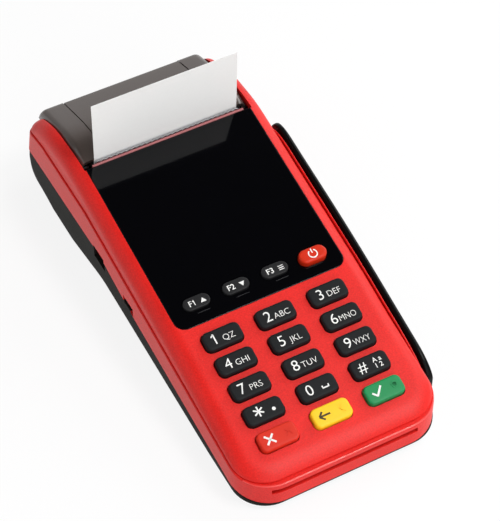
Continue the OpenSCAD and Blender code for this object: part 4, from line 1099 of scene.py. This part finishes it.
# The panel ends where the cover turns down over the hinge, and its side edges are broken
before_tail = (COVER_LINE[:, 0] < HINGE_Y - 1.2) | (COVER_LINE[:, 1] > HINGE_Z + 3.5)
panel_line = COVER_LINE[before_tail][1:]
panel_x = np.array([WINDOW_HW - 0.05, WINDOW_HW - 0.2, 16, 8, 0])
panel_break = np.array([0.18, 0.0, 0.0, 0.0, 0.0])
level = np.zeros_like(panel_x)
panel_top = cover_surface(panel_x, level, panel_break, panel_line)
panel_under = cover_surface(panel_x, level, level + PIT_DEEP - HAIR, panel_line)
dressed(slab("cover_panel", panel_top, panel_under, 40), "cover", "smoked_cover", ("cover_window",))

PAPER_HW, PAPER_T = 28.5, 0.15
# Side profile of the paper, from inside the printer to its free end: distance and height from the exit
PAPER_STEPS = [(2.86, -8.5), (2.86, -4.4), (1.8, 0.0), (1.2, 14.0), (0.7, 28.0)]
STRIP_LINE = smooth_line(np.array(PAPER_STEPS) + [EXIT_Y, EXIT_Z], 40)


def paper_sheet(back):
    """Receipt paper: a sheet that leaves the exit upright and leans a little forward, its side profile
    carried across X; back moves it towards the rear."""
    x = np.linspace(-PAPER_HW, PAPER_HW, 30)
    y = STRIP_LINE[:, :1] + back + 0 * x
    return np.stack([np.broadcast_to(x, y.shape), y, np.broadcast_to(STRIP_LINE[:, 1:], y.shape)], axis=-1)


tongue = slab("paper_tongue", paper_sheet(0.0), paper_sheet(-PAPER_T), 40)
dressed(tongue, "case", "receipt_paper", ("paper_strip",))


# Studio

def aimed(obj, place, aim):
    """Sets a lamp or a camera at one case point, to look at another."""
    a, b = Vector(to_row(place)), Vector(to_row(aim))
    obj.location = a
    obj.rotation_euler = (b - a).to_track_quat("-Z", "Y").to_euler()


def area_light(name, energy, size, place, aim):
    """A soft square lamp that looks from one case point to another."""
    data = bpy.data.lights.new(name, "AREA")
    data.energy = energy
    data.size = size
    aimed(added(name, data), place, aim)


class Sky(Finish):
    """The world as a finish, so that its nodes are made in the same way."""

    def __init__(self, name):
        self.world = bpy.data.worlds.new(name)
        self.world.use_nodes = True
        self.tree = self.world.node_tree
        self.shader = self.tree.nodes["Background"]


scene.view_settings.view_transform = "Standard"
area_light("lamp_right", 4.5, 0.6, (850, 350, 620), (0, 90, 20))
area_light("lamp_front", 4.6, 0.9, (-100, -900, 560), (0, 90, 30))
area_light("lamp_top", 6.0, 0.3, (330, -270, 915), (0, 40, 20))
area_light("lamp_left", 2.5, 0.9, (-900, 250, 500), (0, 90, 20))
sky = Sky("studio")
scene.world = sky.world
where = sky.node("ShaderNodeTexCoord", out="Generated")


def fall(axis, start, end, first, last):
    """Strength that goes from first to last as a direction's part along an axis goes from start to end."""
    along = sky.node("ShaderNodeSeparateXYZ", None, {0: where}, out=axis)
    return sky.node("ShaderNodeMapRange", None, {"Value": along, "From Min": start, "From Max": end,
                                                 "To Min": first, "To Max": last})


# Bright along the horizon and dark overhead, and darker on the left
strength = fall("Z", 0.0, 0.9, 0.95, 0.06) * fall("X", -0.8, 0.2, 0.15, 1.0)
sky.put(sky.shader, {"Color": (1, 1, 1, 1), "Strength": strength})

# Pale floor, in metres: seen straight, mirrored or through glass it mostly glows, so it stays even
FLOOR_HALF, GLOW_SHARE = 6, 0.86
floor_mesh = bpy.data.meshes.new("floor")
floor_mesh.from_pydata([(x * FLOOR_HALF, y * FLOOR_HALF, 0) for x, y in ((-1, -1), (1, -1), (1, 1), (-1, 1))],
                       [], [(0, 1, 2, 3)])
floor = added("floor", floor_mesh)
pale = Finish("floor_pale", (0.9, 0.9, 0.9), 0.9)
glow = pale.node("ShaderNodeEmission", None, {"Color": (1, 1, 1, 1), "Strength": 1.0})
straight = pale.node("ShaderNodeLightPath", out="Is Camera Ray")
mirrored = pale.node("ShaderNodeLightPath", out="Is Glossy Ray")
through = pale.node("ShaderNodeLightPath", out="Is Transmission Ray")
lit = Wire(pale, pale.shader.outputs[0])
share = GLOW_SHARE * (straight + mirrored + through)
mixed = pale.node("ShaderNodeMixShader", None, {0: share, 1: lit, 2: glow})
pale.put(pale.tree.nodes["Material Output"], {"Surface": mixed})
floor_mesh.materials.append(pale.material)

# Camera: direction, distance in millimetres and aim; focal length and longer side of the frame in pixels
AZIMUTH, ELEVATION, DISTANCE = -28.26, 49.58, 698.43
FOCAL_PX, FRAME_PX, SENSOR = 2000.0, 521, 36.0
aim = np.array([4.05, 78.68, 28.5])
(az_cos, az_sin), (el_cos, el_sin) = cos_sin(AZIMUTH), cos_sin(ELEVATION)
eye = aim + DISTANCE * np.array([az_sin * el_cos, -az_cos * el_cos, el_sin])
camera_data = bpy.data.cameras.new("camera")
camera_data.sensor_width = SENSOR
camera_data.lens = FOCAL_PX * SENSOR / FRAME_PX
camera_data.clip_start = 0.01
camera_data.clip_end = 50
camera = added("camera", camera_data)
aimed(camera, eye, aim)
scene.camera = camera
